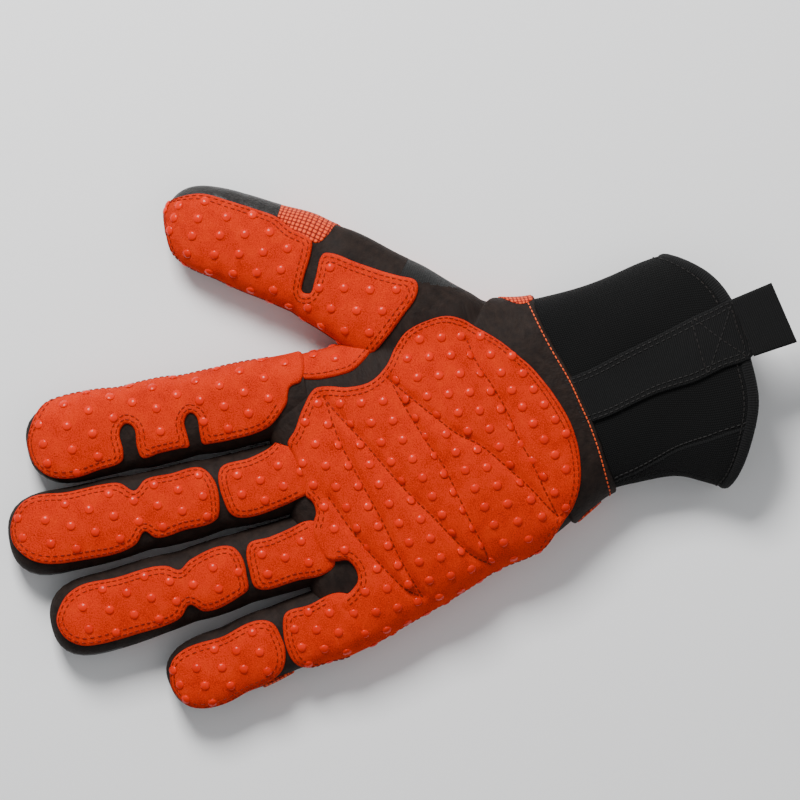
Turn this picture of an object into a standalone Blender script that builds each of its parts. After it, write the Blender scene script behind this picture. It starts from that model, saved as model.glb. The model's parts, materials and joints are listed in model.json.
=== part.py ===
"""Slip-on work glove for the right hand, lying flat with its palm up.

The glove is an assembly of sewn pieces. Each finger is three tubes (sleeves) joined by hinges
at its creases, and carries suede pads on the palm side and woven panels on the back. The hand
is a hollow shell with a quilted palm pad, and the cuff is a tube with a gusset, an edge
binding and a pull strap that ends in a hinged tab.

Frame: +Y runs towards the fingertips, +X towards the thumb side, +Z up, out of the palm.
The back of the glove rests on z = 0. All sizes are in metres.
"""

import math

import bmesh
import bpy
from mathutils import Matrix, Vector

# ---- Driving dimensions -------------------------------------------------------------------

GAP = 0.0003            # clearance between pieces that touch on the real glove
WALL = 0.0016           # base leather and lining together
SUEDE = 0.0012          # suede of the pads
WOVEN = 0.0008          # woven fabric of the back
FOAM = 0.0015           # padding under the palm pad
SECTION_POWER = 2.5     # how square the rounded sections are; 2 is an ellipse
SPLIT_Z = 0.0115        # height of the seam between the palm half and the back half

KNUCKLE_Y = 0.0343      # the four finger roots bend about one line, parallel to X
KNUCKLE_Z = 0.0200      # that line lies on the palm-side surface, which doesn't stretch
FINGER_FLOOR = 0.0016   # fingers' backs stay this far above the table
SLOT = 0.0040           # width of the open slots in the pads at the finger creases

# Each finger: x of its centre at the root, sideways lean per unit of length, widths at the root
# and at the last joint, distances of the creases and the tip from the root, palm-side pad angles.
FINGERS = {
    "index": dict(x=0.0090, lean=0.063, widths=(0.0258, 0.0270), creases=(0.0322, 0.0547),
                  length=0.0888, pad=(-30, 138)),
    "middle": dict(x=-0.0178, lean=0.032, widths=(0.0232, 0.0276), creases=(0.0309, 0.0572),
                   length=0.1032, pad=(42, 138)),
    "ring": dict(x=-0.0426, lean=-0.036, widths=(0.0228, 0.0264), creases=(0.0287, 0.0487),
                 length=0.0965, pad=(42, 138)),
    "little": dict(x=-0.0672, lean=-0.137, widths=(0.0222, 0.0244), creases=(0.0217, 0.0387),
                   length=0.0630, pad=(42, 138)),
}
FINGER_HEIGHTS = (0.0180, 0.0166)   # sleeve height at the root and at the tip
FINGER_DOME = 0.0170                # length over which a fingertip closes
KNUCKLE_STRIP = 0.0080              # length of the black strip over the middle crease

THUMB_ROOT = Vector((0.0330, -0.0010, 0.0230))
THUMB_HEADING = math.radians(45)      # of the root part, from +Y towards +X
THUMB_TURN = math.radians(12)         # the end part turns back towards +Y
THUMB_BASE = 0.0216                   # root to end joint
THUMB_LENGTH = 0.0526                 # end joint to tip
THUMB_WIDTHS = (0.0350, 0.0325)
THUMB_HEIGHTS = (0.0208, 0.0184)
THUMB_DOME = 0.0235
THUMB_FLOOR = 0.0016
CAP_OVERLAP = 0.0080                  # the leather cap reaches this far back from the dome
THUMB_SINK = 0.0006                   # the root's skin lies this far below its hinge line

# The mound carries the thumb's root: where it starts inside the palm, and its sizes there.
MOUND_START = Vector((0.0060, -0.0335, 0))
MOUND_HEADING = math.radians(38)
MOUND_HALF_WIDTH = 0.0178
MOUND_TOP = 0.0215
MOUND_FLOOR = 0.0030
MOUND_LENGTH = 0.040

# Hand and cuff sections: y, left edge, right edge, height. The sections tilt to the wrist's slant.
TRUNK = (
    (-0.1250, -0.0590, 0.0215, 0.0262),
    (-0.1030, -0.0590, 0.0218, 0.0260),
    (-0.0860, -0.0510, 0.0200, 0.0256),
    (-0.0700, -0.0492, 0.0191, 0.0255),
    (-0.0591, -0.0504, 0.0200, 0.0258),
    (-0.0500, -0.0548, 0.0207, 0.0262),
    (-0.0380, -0.0612, 0.0215, 0.0272),
    (-0.0200, -0.0650, 0.0220, 0.0280),
    (-0.0020, -0.0695, 0.0215, 0.0276),
    (0.0140, -0.0745, 0.0205, 0.0246),
    (0.0260, -0.0772, 0.0210, 0.0216),
    (0.0420, -0.0782, 0.0226, 0.0198),
)
WRIST_X = -0.0152                    # middle of the wrist line
WRIST_Y = -0.0591                    # nominal section of the wrist line
WRIST_SLANT = 0.154                  # the wrist line's slope in plan
SLANT_REACH = (0.044, 0.035)         # the slant fades out this far below and above the wrist
WRIST_Z = 0.0210                     # height of the wrist's hinge line
WRIST_FLEX = math.radians(50)        # bend towards the palm
WRIST_EXTEND = math.radians(30)      # bend towards the back
WRIST_BAND = 0.0070                  # length of the leather band next to the wrist line
MOUTH_Y = -0.1030                    # cuff's edge at its two sides
MOUTH_BULGE = 0.0180                 # how much longer the cuff is at its middle
WEB = (0.0042, 0.0050)               # half sizes of the leather ovals between the finger roots
INSIDE_OVERRUN = 0.004               # the hollow's form runs this far past the hand's open ends
MOUND_OVERRUN = 0.12                 # and past the mound's end, as a share of its length
LEVEL_OVERRUN = 0.001                # the forms that trim the pads run past the ends by this
PAD_CENTRE = Vector((-0.0280, -0.0100, 0))
CUT_TOP = 0.050                      # height that cutting shapes reach to
FOAM_SHARE = 0.88                    # the padding's size as a share of the palm pad's
BINDING = 0.0032                     # width of the edge binding
MOUTH_LIFT = 0.0014                  # the back rises this much at the mouth, for the binding
MOUTH_LIFT_START = -0.0850
MOUTH_LIFT_LENGTH = 0.015

STRAP_START = ((-0.0262, -0.0722), (-0.0088, -0.0705))
STRAP_END = ((-0.0188, -0.1222), (0.0020, -0.1208))
STRAP_THICKNESS = 0.0016
TAB_LENGTH = 0.0131
TAB_WIDTH = 0.0208
TAB_THICKNESS = 0.0024
TAB_CORNER = 0.0030                  # radius of the free corners
TAB_CLEARANCE = 0.0016               # between the tab's hinge line and the webbing on each side
TAB_HINGE = Vector((-0.0086, -0.1237, 0.0285))
TAB_HEADING = math.radians(3.9)      # slant of the tab's hinge line in plan

COLOURS = {
    "suede_orange": ((0.80, 0.09, 0.015), 0.85),
    "leather_black": ((0.012, 0.010, 0.009), 0.45),
    "woven_orange": ((0.62, 0.06, 0.012), 0.80),
    "neoprene_black": ((0.006, 0.006, 0.006), 0.90),
    "webbing_black": ((0.010, 0.010, 0.010), 0.75),
    "foam_grey": ((0.30, 0.30, 0.30), 0.95),
}

# ---- Scene and object helpers ---------------------------------------------------------------

for old in list(bpy.data.objects):
    bpy.data.objects.remove(old, do_unlink=True)

glove = bpy.data.collections.new("work_glove")
bpy.context.scene.collection.children.link(glove)
cutters = bpy.data.collections.new("cutters")
bpy.context.scene.collection.children.link(cutters)


def make_material(name):
    colour, roughness = COLOURS[name]
    material = bpy.data.materials.new(name)
    material.use_nodes = True
    shader = material.node_tree.nodes["Principled BSDF"]
    shader.inputs["Base Color"].default_value = (*colour, 1)
    shader.inputs["Roughness"].default_value = roughness
    shader.inputs["Metallic"].default_value = 0
    return material


materials = {name: make_material(name) for name in COLOURS}


def make_joint(name, place, parent=None, turn=0.0):
    """An empty on a hinge line, turned about Z so that its X axis is the line."""
    empty = bpy.data.objects.new(name, None)
    empty.location = place
    empty.rotation_euler = (0, 0, turn)
    empty.parent = parent
    glove.objects.link(empty)
    return empty


def new_object(name, bm, material, parent=None, collection=glove):
    mesh = bpy.data.meshes.new(name)
    bm.to_mesh(mesh)
    bm.free()
    mesh.shade_smooth()
    mesh.set_sharp_from_angle(angle=math.radians(40))
    if material:
        mesh.materials.append(materials[material])
    obj = bpy.data.objects.new(name, mesh)
    obj.parent = parent
    collection.objects.link(obj)
    return obj


def mapped_grid(surface, across, along, pivot):
    """A grid bent onto surface(u, v); seams and poles that meet are welded."""
    bm = bmesh.new()
    bmesh.ops.create_grid(bm, x_segments=across, y_segments=along, size=0.5)
    for vert in bm.verts:
        vert.co = surface(vert.co.x + 0.5, vert.co.y + 0.5) - pivot
    bmesh.ops.remove_doubles(bm, verts=bm.verts, dist=1e-6)
    return bm


def cloth(name, surface, across, along, thickness, material, parent=None, pivot=Vector()):
    """A sheet of cloth or leather: its outer face is the surface, and it is thick inwards."""
    obj = new_object(name, mapped_grid(surface, across, along, pivot), material, parent)
    solidify = obj.modifiers.new("thickness", "SOLIDIFY")
    solidify.thickness = thickness
    solidify.offset = -1
    solidify.use_even_offset = True
    return obj


def solid_form(name, surface, across, along):
    """A closed cutter or block: the tube of a surface with both ends filled."""
    bm = mapped_grid(surface, across, along, Vector())
    rims = [edge for edge in bm.edges if edge.is_boundary]
    bmesh.ops.holes_fill(bm, edges=rims)
    bmesh.ops.recalc_face_normals(bm, faces=bm.faces)
    return hide_cutter(new_object(name, bm, None, collection=cutters))


def hide_cutter(obj):
    obj.hide_render = True
    obj.display_type = "WIRE"
    return obj


def combine(obj, other, operation):
    boolean = obj.modifiers.new(operation.lower(), "BOOLEAN")
    boolean.operation = operation
    boolean.solver = "EXACT"
    boolean.object = other
    return obj


def settle(obj):
    """Replaces the object's mesh by its evaluated one, so that it can be cut further."""
    bpy.context.view_layer.update()
    evaluated = obj.evaluated_get(bpy.context.evaluated_depsgraph_get())
    mesh = bpy.data.meshes.new_from_object(evaluated)
    obj.modifiers.clear()
    obj.data = mesh
    return obj


def outline_prism(name, points, low, high):
    """A smooth closed outline in plan, extruded from low to high."""
    curve = bpy.data.curves.new(name, "CURVE")
    curve.dimensions = "2D"
    curve.fill_mode = "BOTH"
    curve.extrude = (high - low) / 2
    curve.resolution_u = 3
    spline = curve.splines.new("BEZIER")
    spline.bezier_points.add(len(points) - 1)
    for knot, (x, y) in zip(spline.bezier_points, points):
        knot.co = (x, y, 0)
        knot.handle_left_type = "AUTO"
        knot.handle_right_type = "AUTO"
    spline.use_cyclic_u = True
    source = bpy.data.objects.new(name + "_outline", curve)
    source.location = (0, 0, (low + high) / 2)
    cutters.objects.link(source)
    bpy.context.view_layer.update()
    evaluated = source.evaluated_get(bpy.context.evaluated_depsgraph_get())
    mesh = bpy.data.meshes.new_from_object(evaluated)
    bm = bmesh.new()
    bm.from_mesh(mesh)
    bmesh.ops.transform(bm, matrix=source.matrix_world, verts=bm.verts)
    bmesh.ops.remove_doubles(bm, verts=bm.verts, dist=1e-5)
    bmesh.ops.recalc_face_normals(bm, faces=bm.faces)
    bpy.data.meshes.remove(mesh)
    bpy.data.objects.remove(source)
    return bm


# ---- Forms ----------------------------------------------------------------------------------


def lerp(a, b, t):
    return a + (b - a) * t


def section(angle):
    """Point of the unit rounded section at a polar angle in degrees; 90 is the palm side."""
    c, s = math.cos(math.radians(angle)), math.sin(math.radians(angle))
    radius = (abs(c) ** SECTION_POWER + abs(s) ** SECTION_POWER) ** (-1 / SECTION_POWER)
    return c * radius, s * radius


def trunk_sizes(y):
    """Left edge, right edge and height of the hand or cuff at a nominal y, on smooth curves."""
    rows = TRUNK
    i = max(k for k in range(len(rows) - 1) if k == 0 or rows[k][0] <= y)
    before, low, high, after = rows[max(i - 1, 0)], rows[i], rows[i + 1], rows[min(i + 2, len(rows) - 1)]
    t = (y - low[0]) / (high[0] - low[0])
    sizes = []
    for k in (1, 2, 3):
        slope_low = (high[k] - before[k]) / (high[0] - before[0]) * (high[0] - low[0])
        slope_high = (after[k] - low[k]) / (after[0] - low[0]) * (high[0] - low[0])
        sizes.append(low[k] * (2 * t**3 - 3 * t**2 + 1) + high[k] * (3 * t**2 - 2 * t**3)
                     + slope_low * (t**3 - 2 * t**2 + t) + slope_high * (t**3 - t**2))
    return sizes


def trunk_tilt(y):
    """Slope of a section in plan: the wrist's slant near the wrist, square at both ends."""
    away = abs(y - WRIST_Y) / (SLANT_REACH[1] if y > WRIST_Y else SLANT_REACH[0])
    return WRIST_SLANT * max(0.0, 1 - away)


def trunk_point(y, angle, grow=0.0):
    """Point of the hand and cuff form, grown outwards by grow, with a flat back on z = 0."""
    left, right, height = trunk_sizes(y)
    across, up = section(angle)
    middle = (left + right) / 2
    half = (right - left) / 2 + grow
    x = middle + half * across
    if up > 0:
        z = SPLIT_Z + (height - SPLIT_Z + grow) * up
    else:
        floor = MOUTH_LIFT * min(1.0, max(0.0, (MOUTH_LIFT_START - y) / MOUTH_LIFT_LENGTH))
        z = max(SPLIT_Z + (SPLIT_Z * 1.06 + grow) * up, floor - grow)
    return Vector((x, y + trunk_tilt(y) * (x - middle), z))


def trunk_top(x, y, grow=0.0):
    """Height of the form's palm side over a point in plan."""
    nominal = max(y, MOUTH_Y)
    left, right, height = trunk_sizes(nominal)
    across = min(0.98, abs(x - (left + right) / 2) / ((right - left) / 2 + grow))
    return SPLIT_Z + (height - SPLIT_Z + grow) * (1 - across**SECTION_POWER) ** (1 / SECTION_POWER)


def mound_point(v, angle, grow=0.0):
    """Root of the thumb: from inside the palm (v = 0) to the thumb's root joint (v = 1)."""
    heading = lerp(MOUND_HEADING, THUMB_HEADING, v)
    centre = lerp(MOUND_START, Vector((*THUMB_ROOT.xy, 0)), v)
    half = lerp(MOUND_HALF_WIDTH, THUMB_WIDTHS[0] / 2, v) + grow
    across, up = section(angle)
    top = lerp(MOUND_TOP, THUMB_ROOT.z - THUMB_SINK, v)
    floor = lerp(MOUND_FLOOR, THUMB_FLOOR, v)
    z = lerp(floor, top, 0.5) + ((top - floor) / 2 + grow) * up
    side = Vector((math.cos(heading), -math.sin(heading), 0))
    return centre + side * half * across + Vector((0, 0, z))


def finger_sizes(finger, y):
    """Centre x, half width, floor and top of a finger's sleeve, y from the root."""
    t = y / finger["length"]
    half = lerp(*finger["widths"], min(1.0, y / finger["creases"][1])) / 2
    height = lerp(*finger["heights"], t)
    return finger["x"] + finger["lean"] * y, half, finger["floor"], finger["floor"] + height


def finger_point(finger, y, angle, grow=0.0, dome=0.0):
    """Point of a finger form, in the finger's frame. dome is the angle round the closed tip."""
    forward, shrink = (0.0, 1.0) if dome <= 0 else (section(dome)[1], section(dome)[0])
    centre, half, floor, top = finger_sizes(finger, y)
    across, up = section(angle)
    x = centre + finger["lean"] * finger["dome"] * forward + (half + grow) * shrink * across
    z = (floor + top) / 2 + ((top - floor) / 2 + grow) * shrink * up
    return Vector((x, y + (finger["dome"] + grow) * forward, z))


def finger_strip(finger, start, end, angles, grow, skew=0.0):
    """Surface over a stretch of a finger, from angle to angle; skew slants its far end."""

    def surface(u, v):
        angle = lerp(angles[1], angles[0], u)
        point = finger_point(finger, lerp(start, end, v), angle, grow)
        point.y += skew * point.x * v
        return point

    return surface


def finger_tip(finger, start, angles, grow, reach=90.0):
    """Surface over a fingertip: straight for its first part, then closing round the dome."""
    dome_start = finger["length"] - finger["dome"]

    def surface(u, v):
        angle = lerp(angles[1], angles[0], u)
        if v < 0.4:
            return finger_point(finger, lerp(start, dome_start, v / 0.4), angle, grow)
        return finger_point(finger, dome_start, angle, grow, dome=reach * (v - 0.4) / 0.6)

    return surface


# ---- Fingers --------------------------------------------------------------------------------

ALL_ROUND = (0.0, 360.0)
BACK = (220.0, 320.0)


def finger_pieces(name, finger, root_joint, joints, pivots):
    """The sleeves, pads, back panels and knuckle strip of one finger."""
    first, second = finger["creases"]
    pad = finger["pad"]
    lift = GAP + SUEDE
    cover = GAP + WOVEN
    stretches = (
        ("base", GAP, first - GAP, root_joint, pivots[0]),
        ("mid", first + GAP, second - GAP, joints[0], pivots[1]),
    )
    for part, start, end, joint, pivot in stretches:
        cloth(f"{name}_{part}_sleeve", finger_strip(finger, start, end, ALL_ROUND, 0.0), 20, 2,
              WALL, "leather_black", joint, pivot)
        pad_start = start + SLOT / 2
        cloth(f"{name}_{part}_pad", finger_strip(finger, pad_start, end - SLOT / 2, pad, lift),
              8, 2, SUEDE, "suede_orange", joint, pivot)
        back_start = start + (KNUCKLE_STRIP + GAP if part == "mid" else 0.0)
        cloth(f"{name}_{part}_back", finger_strip(finger, back_start, end, BACK, cover), 6, 2,
              WOVEN, "woven_orange", joint, pivot)
    cloth(f"{name}_knuckle_strip",
          finger_strip(finger, first + GAP, first + KNUCKLE_STRIP, BACK, cover), 6, 1,
          WOVEN, "leather_black", joints[0], pivots[1])
    cloth(f"{name}_tip_sleeve", finger_tip(finger, second + GAP, ALL_ROUND, 0.0), 20, 9,
          WALL, "leather_black", joints[1], pivots[2])
    cloth(f"{name}_tip_pad", finger_tip(finger, second + SLOT / 2, pad, lift + GAP, reach=72.0), 8, 7,
          SUEDE, "suede_orange", joints[1], pivots[2])


def build_finger(name, spec):
    finger = dict(spec, x=0.0, heights=FINGER_HEIGHTS, dome=FINGER_DOME, floor=FINGER_FLOOR)
    first, second = finger["creases"]
    pivots = [Vector((0, 0, KNUCKLE_Z))]
    for crease in (first, second):
        centre, _, _, top = finger_sizes(finger, crease)
        pivots.append(Vector((centre, crease, top)))
    root = make_joint(f"{name}_root_joint", Vector((spec["x"], KNUCKLE_Y, KNUCKLE_Z)))
    middle = make_joint(f"{name}_middle_joint", pivots[1] - pivots[0], root)
    end = make_joint(f"{name}_end_joint", pivots[2] - pivots[1], middle)
    finger_pieces(name, finger, root, (middle, end), pivots)


def build_thumb():
    base = dict(x=0.0, lean=0.0, widths=(THUMB_WIDTHS[0],) * 2, creases=(1, 1), length=1.0,
                heights=(THUMB_ROOT.z - THUMB_SINK - THUMB_FLOOR,) * 2, dome=0.0, floor=THUMB_FLOOR)
    tip = dict(x=0.0, lean=0.0, widths=THUMB_WIDTHS, creases=(1, THUMB_LENGTH),
               length=THUMB_LENGTH, heights=THUMB_HEIGHTS, dome=THUMB_DOME, floor=THUMB_FLOOR)
    tip_z = THUMB_FLOOR + THUMB_HEIGHTS[0]
    root_pivot = Vector((0, 0, THUMB_ROOT.z))
    tip_pivot = Vector((0, 0, tip_z))
    root = make_joint("thumb_root_joint", THUMB_ROOT, turn=-THUMB_HEADING)
    end_place = Vector((0, THUMB_BASE, tip_z - THUMB_ROOT.z))
    end = make_joint("thumb_end_joint", end_place, root, turn=THUMB_TURN)
    skew = math.tan(THUMB_TURN)
    lift, cover = GAP + SUEDE, GAP + WOVEN
    pad, outer = (52.0, 200.0), (-20.0, 46.0)
    half_slot = SLOT / 2
    cloth("thumb_base_sleeve", finger_strip(base, GAP, THUMB_BASE - GAP, ALL_ROUND, 0.0, skew),
          20, 2, WALL, "leather_black", root, root_pivot)
    cloth("thumb_base_pad",
          finger_strip(base, half_slot, THUMB_BASE - half_slot, pad, lift, skew), 8, 2,
          SUEDE, "suede_orange", root, root_pivot)
    cloth("thumb_tip_sleeve", finger_tip(tip, GAP, ALL_ROUND, 0.0), 24, 11,
          WALL, "leather_black", end, tip_pivot)
    cloth("thumb_tip_pad", finger_tip(tip, half_slot, pad, lift + GAP, reach=75.0), 9, 8,
          SUEDE, "suede_orange", end, tip_pivot)
    weave_end = THUMB_LENGTH - THUMB_DOME - CAP_OVERLAP
    cloth("thumb_woven_strip", finger_strip(tip, 2 * GAP, weave_end, outer, cover), 4, 2,
          WOVEN, "woven_orange", end, tip_pivot)
    cloth("thumb_leather_cap", finger_tip(tip, weave_end + GAP, outer, cover + GAP, reach=75.0), 4, 8,
          WOVEN, "leather_black", end, tip_pivot)


# ---- Hand -----------------------------------------------------------------------------------

HAND_START = WRIST_Y + WRIST_BAND + 4 * GAP    # the slanted rims need more room
HAND_END = KNUCKLE_Y - GAP


def hand_form(name, grow, overrun=0.0, mound_overrun=0.0):
    """The closed form of palm and thumb root together, grown outwards by grow."""
    low, high = HAND_START - overrun, HAND_END + overrun

    def palm(u, v):
        return trunk_point(lerp(low, high, v), 360 * (1 - u), grow)

    def mound(u, v):
        return mound_point(v * (1 - GAP / MOUND_LENGTH + mound_overrun), 360 * (1 - u), grow)

    form = solid_form(name, palm, 36, 7)
    root = solid_form(name + "_root", mound, 20, 2)
    return settle(combine(form, root, "UNION"))


def box(name, low, high):
    bm = bmesh.new()
    bmesh.ops.create_cube(bm, size=1.0)
    scale = Matrix.Diagonal((*(high - low), 1))
    bmesh.ops.transform(bm, matrix=Matrix.Translation((low + high) / 2) @ scale, verts=bm.verts)
    return hide_cutter(new_object(name, bm, None, collection=cutters))


def trim(name, outline, inner, outer, material):
    """A piece of leather or suede cut to an outline in plan and laid over the palm side."""
    piece = new_object(name, outline_prism(name, outline, SPLIT_Z, CUT_TOP), material)
    combine(piece, outer, "INTERSECT")
    combine(piece, inner, "DIFFERENCE")
    return settle(piece)


def oval(x, y, half_x, half_y):
    turns = [2 * math.pi * k / 8 for k in range(8)]
    return [(x + half_x * math.cos(t), y + half_y * math.sin(t)) for t in turns]


def build_hand():
    reach = 0.2
    inside = hand_form("hand_inside", -WALL, overrun=INSIDE_OVERRUN, mound_overrun=MOUND_OVERRUN)
    half = SPLIT_Z + GAP / 2
    upper = box("upper_half", Vector((-reach, -reach, half)), Vector((reach, reach, reach)))
    half = SPLIT_Z - GAP / 2
    lower = box("lower_half", Vector((-reach, -reach, -reach)), Vector((reach, reach, half)))
    for name, side, material in (("palm_base", upper, "leather_black"),
                                 ("back_panel", lower, "woven_orange")):
        shell = hand_form(name, 0.0)
        hand_root = bpy.data.objects[name]
        cutters.objects.unlink(hand_root)
        glove.objects.link(hand_root)
        hand_root.hide_render = False
        hand_root.display_type = "TEXTURED"
        hand_root.data.materials.clear()
        hand_root.data.materials.append(materials[material])
        combine(shell, inside, "DIFFERENCE")
        combine(shell, side, "INTERSECT")
        settle(shell)

    level = {grow: hand_form(f"hand_level_{k}", grow, overrun=LEVEL_OVERRUN)
             for k, grow in enumerate((GAP, GAP + FOAM, GAP + SUEDE, 2 * GAP + FOAM,
                                       2 * GAP + FOAM + SUEDE))}
    near, suede_out, foam_out, pad_in, pad_out = (
        level[GAP], level[GAP + SUEDE], level[GAP + FOAM], level[2 * GAP + FOAM],
        level[2 * GAP + FOAM + SUEDE])

    pad_outline = [
        (0.0180, -0.0215), (0.0140, -0.0060), (0.0062, 0.0045), (0.0072, 0.0145),
        (0.0080, 0.0235), (0.0010, 0.0296), (-0.0180, 0.0318), (-0.0420, 0.0318),
        (-0.0640, 0.0318), (-0.0748, 0.0290), (-0.0722, 0.0080), (-0.0680, -0.0080),
        (-0.0650, -0.0200), (-0.0625, -0.0340), (-0.0555, -0.0450), (-0.0430, -0.0545),
        (-0.0305, -0.0568), (-0.0140, -0.0535), (0.0010, -0.0465), (0.0150, -0.0340),
    ]
    foam_outline = [tuple((Vector((*point, 0)) - PAD_CENTRE) * FOAM_SHARE + PAD_CENTRE)[:2]
                    for point in pad_outline]
    pad = trim("palm_pad", pad_outline, pad_in, pad_out, "suede_orange")
    foam = trim("palm_foam", foam_outline, near, foam_out, "foam_grey")
    roots = list(FINGERS.values())
    for name, a, b in (("web_middle_ring", roots[1], roots[2]),
                       ("web_ring_little", roots[2], roots[3])):
        x, y = (a["x"] + b["x"]) / 2, HAND_END - WEB[1] - GAP
        room = outline_prism(name + "_room", oval(x, y, WEB[0] + GAP, WEB[1] + GAP), 0, CUT_TOP)
        cutter = hide_cutter(new_object(name + "_room", room, None, collection=cutters))
        combine(pad, cutter, "DIFFERENCE")
        combine(foam, cutter, "DIFFERENCE")
        trim(name, oval(x, y, *WEB), near, suede_out, "leather_black")
    settle(pad)
    settle(foam)
    crotch = [(0.0115, 0.0165), (0.0150, 0.0160), (0.0240, 0.0175), (0.0250, 0.0300),
              (0.0200, 0.0318), (0.0125, 0.0312), (0.0112, 0.0240)]
    trim("crotch_panel", crotch, near, suede_out, "suede_orange")
    patch = [(0.0225, -0.0410), (0.0280, -0.0265), (0.0372, -0.0150), (0.0440, -0.0140),
             (0.0480, -0.0180), (0.0400, -0.0340), (0.0300, -0.0440)]
    trim("thumb_patch", patch, near, suede_out, "neoprene_black")


# ---- Wrist and cuff -------------------------------------------------------------------------


def wrist_edge(z, towards_hand):
    """How far the cut at the wrist stands off the hinge line, so that the wrist can bend."""
    drop = WRIST_Z - z
    if drop > 0:
        return GAP + drop * math.tan(WRIST_EXTEND / 2)
    return GAP if towards_hand else GAP - drop * math.tan(WRIST_FLEX)


def build_wrist_band():
    def band(u, v):
        angle = 360 * (1 - u)
        near = trunk_point(WRIST_Y, angle)
        edge = WRIST_Y + wrist_edge(near.z, True)
        return trunk_point(lerp(edge, WRIST_Y + WRIST_BAND, v), angle)

    cloth("wrist_band", band, 36, 1, WALL, "leather_black")


def cuff_surface(angles, inset=0.0, grow=0.0, start=None):
    """Cuff from its mouth (v = 0) to the wrist (v = 1), between two angles that may vary."""

    def surface(u, v):
        high, low = angles(v)
        angle = lerp(high, low, u)
        near = trunk_point(WRIST_Y, angle)
        edge = WRIST_Y - wrist_edge(near.z, False)
        bulge = MOUTH_BULGE * abs(math.sin(math.radians(angle))) ** 0.8
        mouth = MOUTH_Y + inset
        far = mouth + start if start else edge
        y = lerp(mouth, far, v)
        point = trunk_point(y, angle, grow)
        share = max(0.0, (edge - y) / (edge - MOUTH_Y))
        point.y -= bulge * share**2
        return point

    return surface


def gusset_angle(v):
    """Angle of the gusset's palm-side seam: wide at the mouth, narrow at the wrist."""
    return lerp(128.0, 168.0, v)


def build_cuff(joint, pivot):
    step = 1.6
    panels = (
        ("cuff_palm_panel", lambda v: (gusset_angle(v) - step, step), 14),
        ("cuff_gusset", lambda v: (359 - gusset_angle(v), gusset_angle(v)), 8),
        ("cuff_back_panel", lambda v: (360 - step, 360 - gusset_angle(v) + step), 14),
    )
    for name, angles, across in panels:
        cloth(name, cuff_surface(angles), across, 5, WALL, "neoprene_black", joint, pivot)
    lift = GAP + WOVEN
    binding = cuff_surface(lambda v: (360, 0), grow=lift, start=BINDING)
    cloth("cuff_binding", binding, 36, 1, WOVEN, "webbing_black", joint, pivot)

    def strap(u, v):
        start = lerp(Vector(STRAP_START[0]), Vector(STRAP_START[1]), u)
        end = lerp(Vector(STRAP_END[0]), Vector(STRAP_END[1]), u)
        place = lerp(end, start, v)
        height = trunk_top(place.x, place.y) + 3 * GAP + WOVEN + STRAP_THICKNESS
        return Vector((place.x, place.y, height))

    cloth("pull_strap", strap, 3, 8, STRAP_THICKNESS, "webbing_black", joint, pivot)


def build_tab(joint):
    half = TAB_WIDTH / 2
    corner = TAB_CORNER
    near, far = -TAB_CLEARANCE, -TAB_CLEARANCE - TAB_LENGTH
    corners = [(-half + corner, far, 180), (half - corner, far, 270)]
    outline = [(-half, near), (-half, far + corner)]
    for x, y, turn in corners:
        for k in range(5):
            t = math.radians(turn + 22.5 * k)
            outline.append((x + corner * math.cos(t), y + corner + corner * math.sin(t)))
    outline += [(half, near)]
    curve = bpy.data.curves.new("pull_tab", "CURVE")
    curve.dimensions = "2D"
    curve.fill_mode = "BOTH"
    curve.extrude = TAB_THICKNESS / 2
    spline = curve.splines.new("POLY")
    spline.points.add(len(outline) - 1)
    for point, (x, y) in zip(spline.points, outline):
        point.co = (x, y, 0, 1)
    spline.use_cyclic_u = True
    tab = bpy.data.objects.new("pull_tab", curve)
    tab.data.materials.append(materials["webbing_black"])
    tab.parent = joint
    glove.objects.link(tab)


for finger_name, finger_spec in FINGERS.items():
    build_finger(finger_name, finger_spec)
build_thumb()
build_hand()
build_wrist_band()
wrist_pivot = Vector((WRIST_X, WRIST_Y, WRIST_Z))
wrist_joint = make_joint("wrist_joint", wrist_pivot)
build_cuff(wrist_joint, wrist_pivot)
tab_joint = make_joint("tab_joint", TAB_HINGE - wrist_pivot, wrist_joint, turn=TAB_HEADING)
build_tab(tab_joint)
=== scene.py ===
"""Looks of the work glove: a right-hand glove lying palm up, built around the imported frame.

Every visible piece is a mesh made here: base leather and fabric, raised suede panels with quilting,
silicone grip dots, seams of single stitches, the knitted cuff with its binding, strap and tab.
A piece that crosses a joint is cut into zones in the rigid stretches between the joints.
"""

import json
import math

import bmesh
import bpy
import numpy as np
from mathutils import Matrix, Vector
from mathutils.bvhtree import BVHTree
from mathutils.geometry import delaunay_2d_cdt


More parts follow.
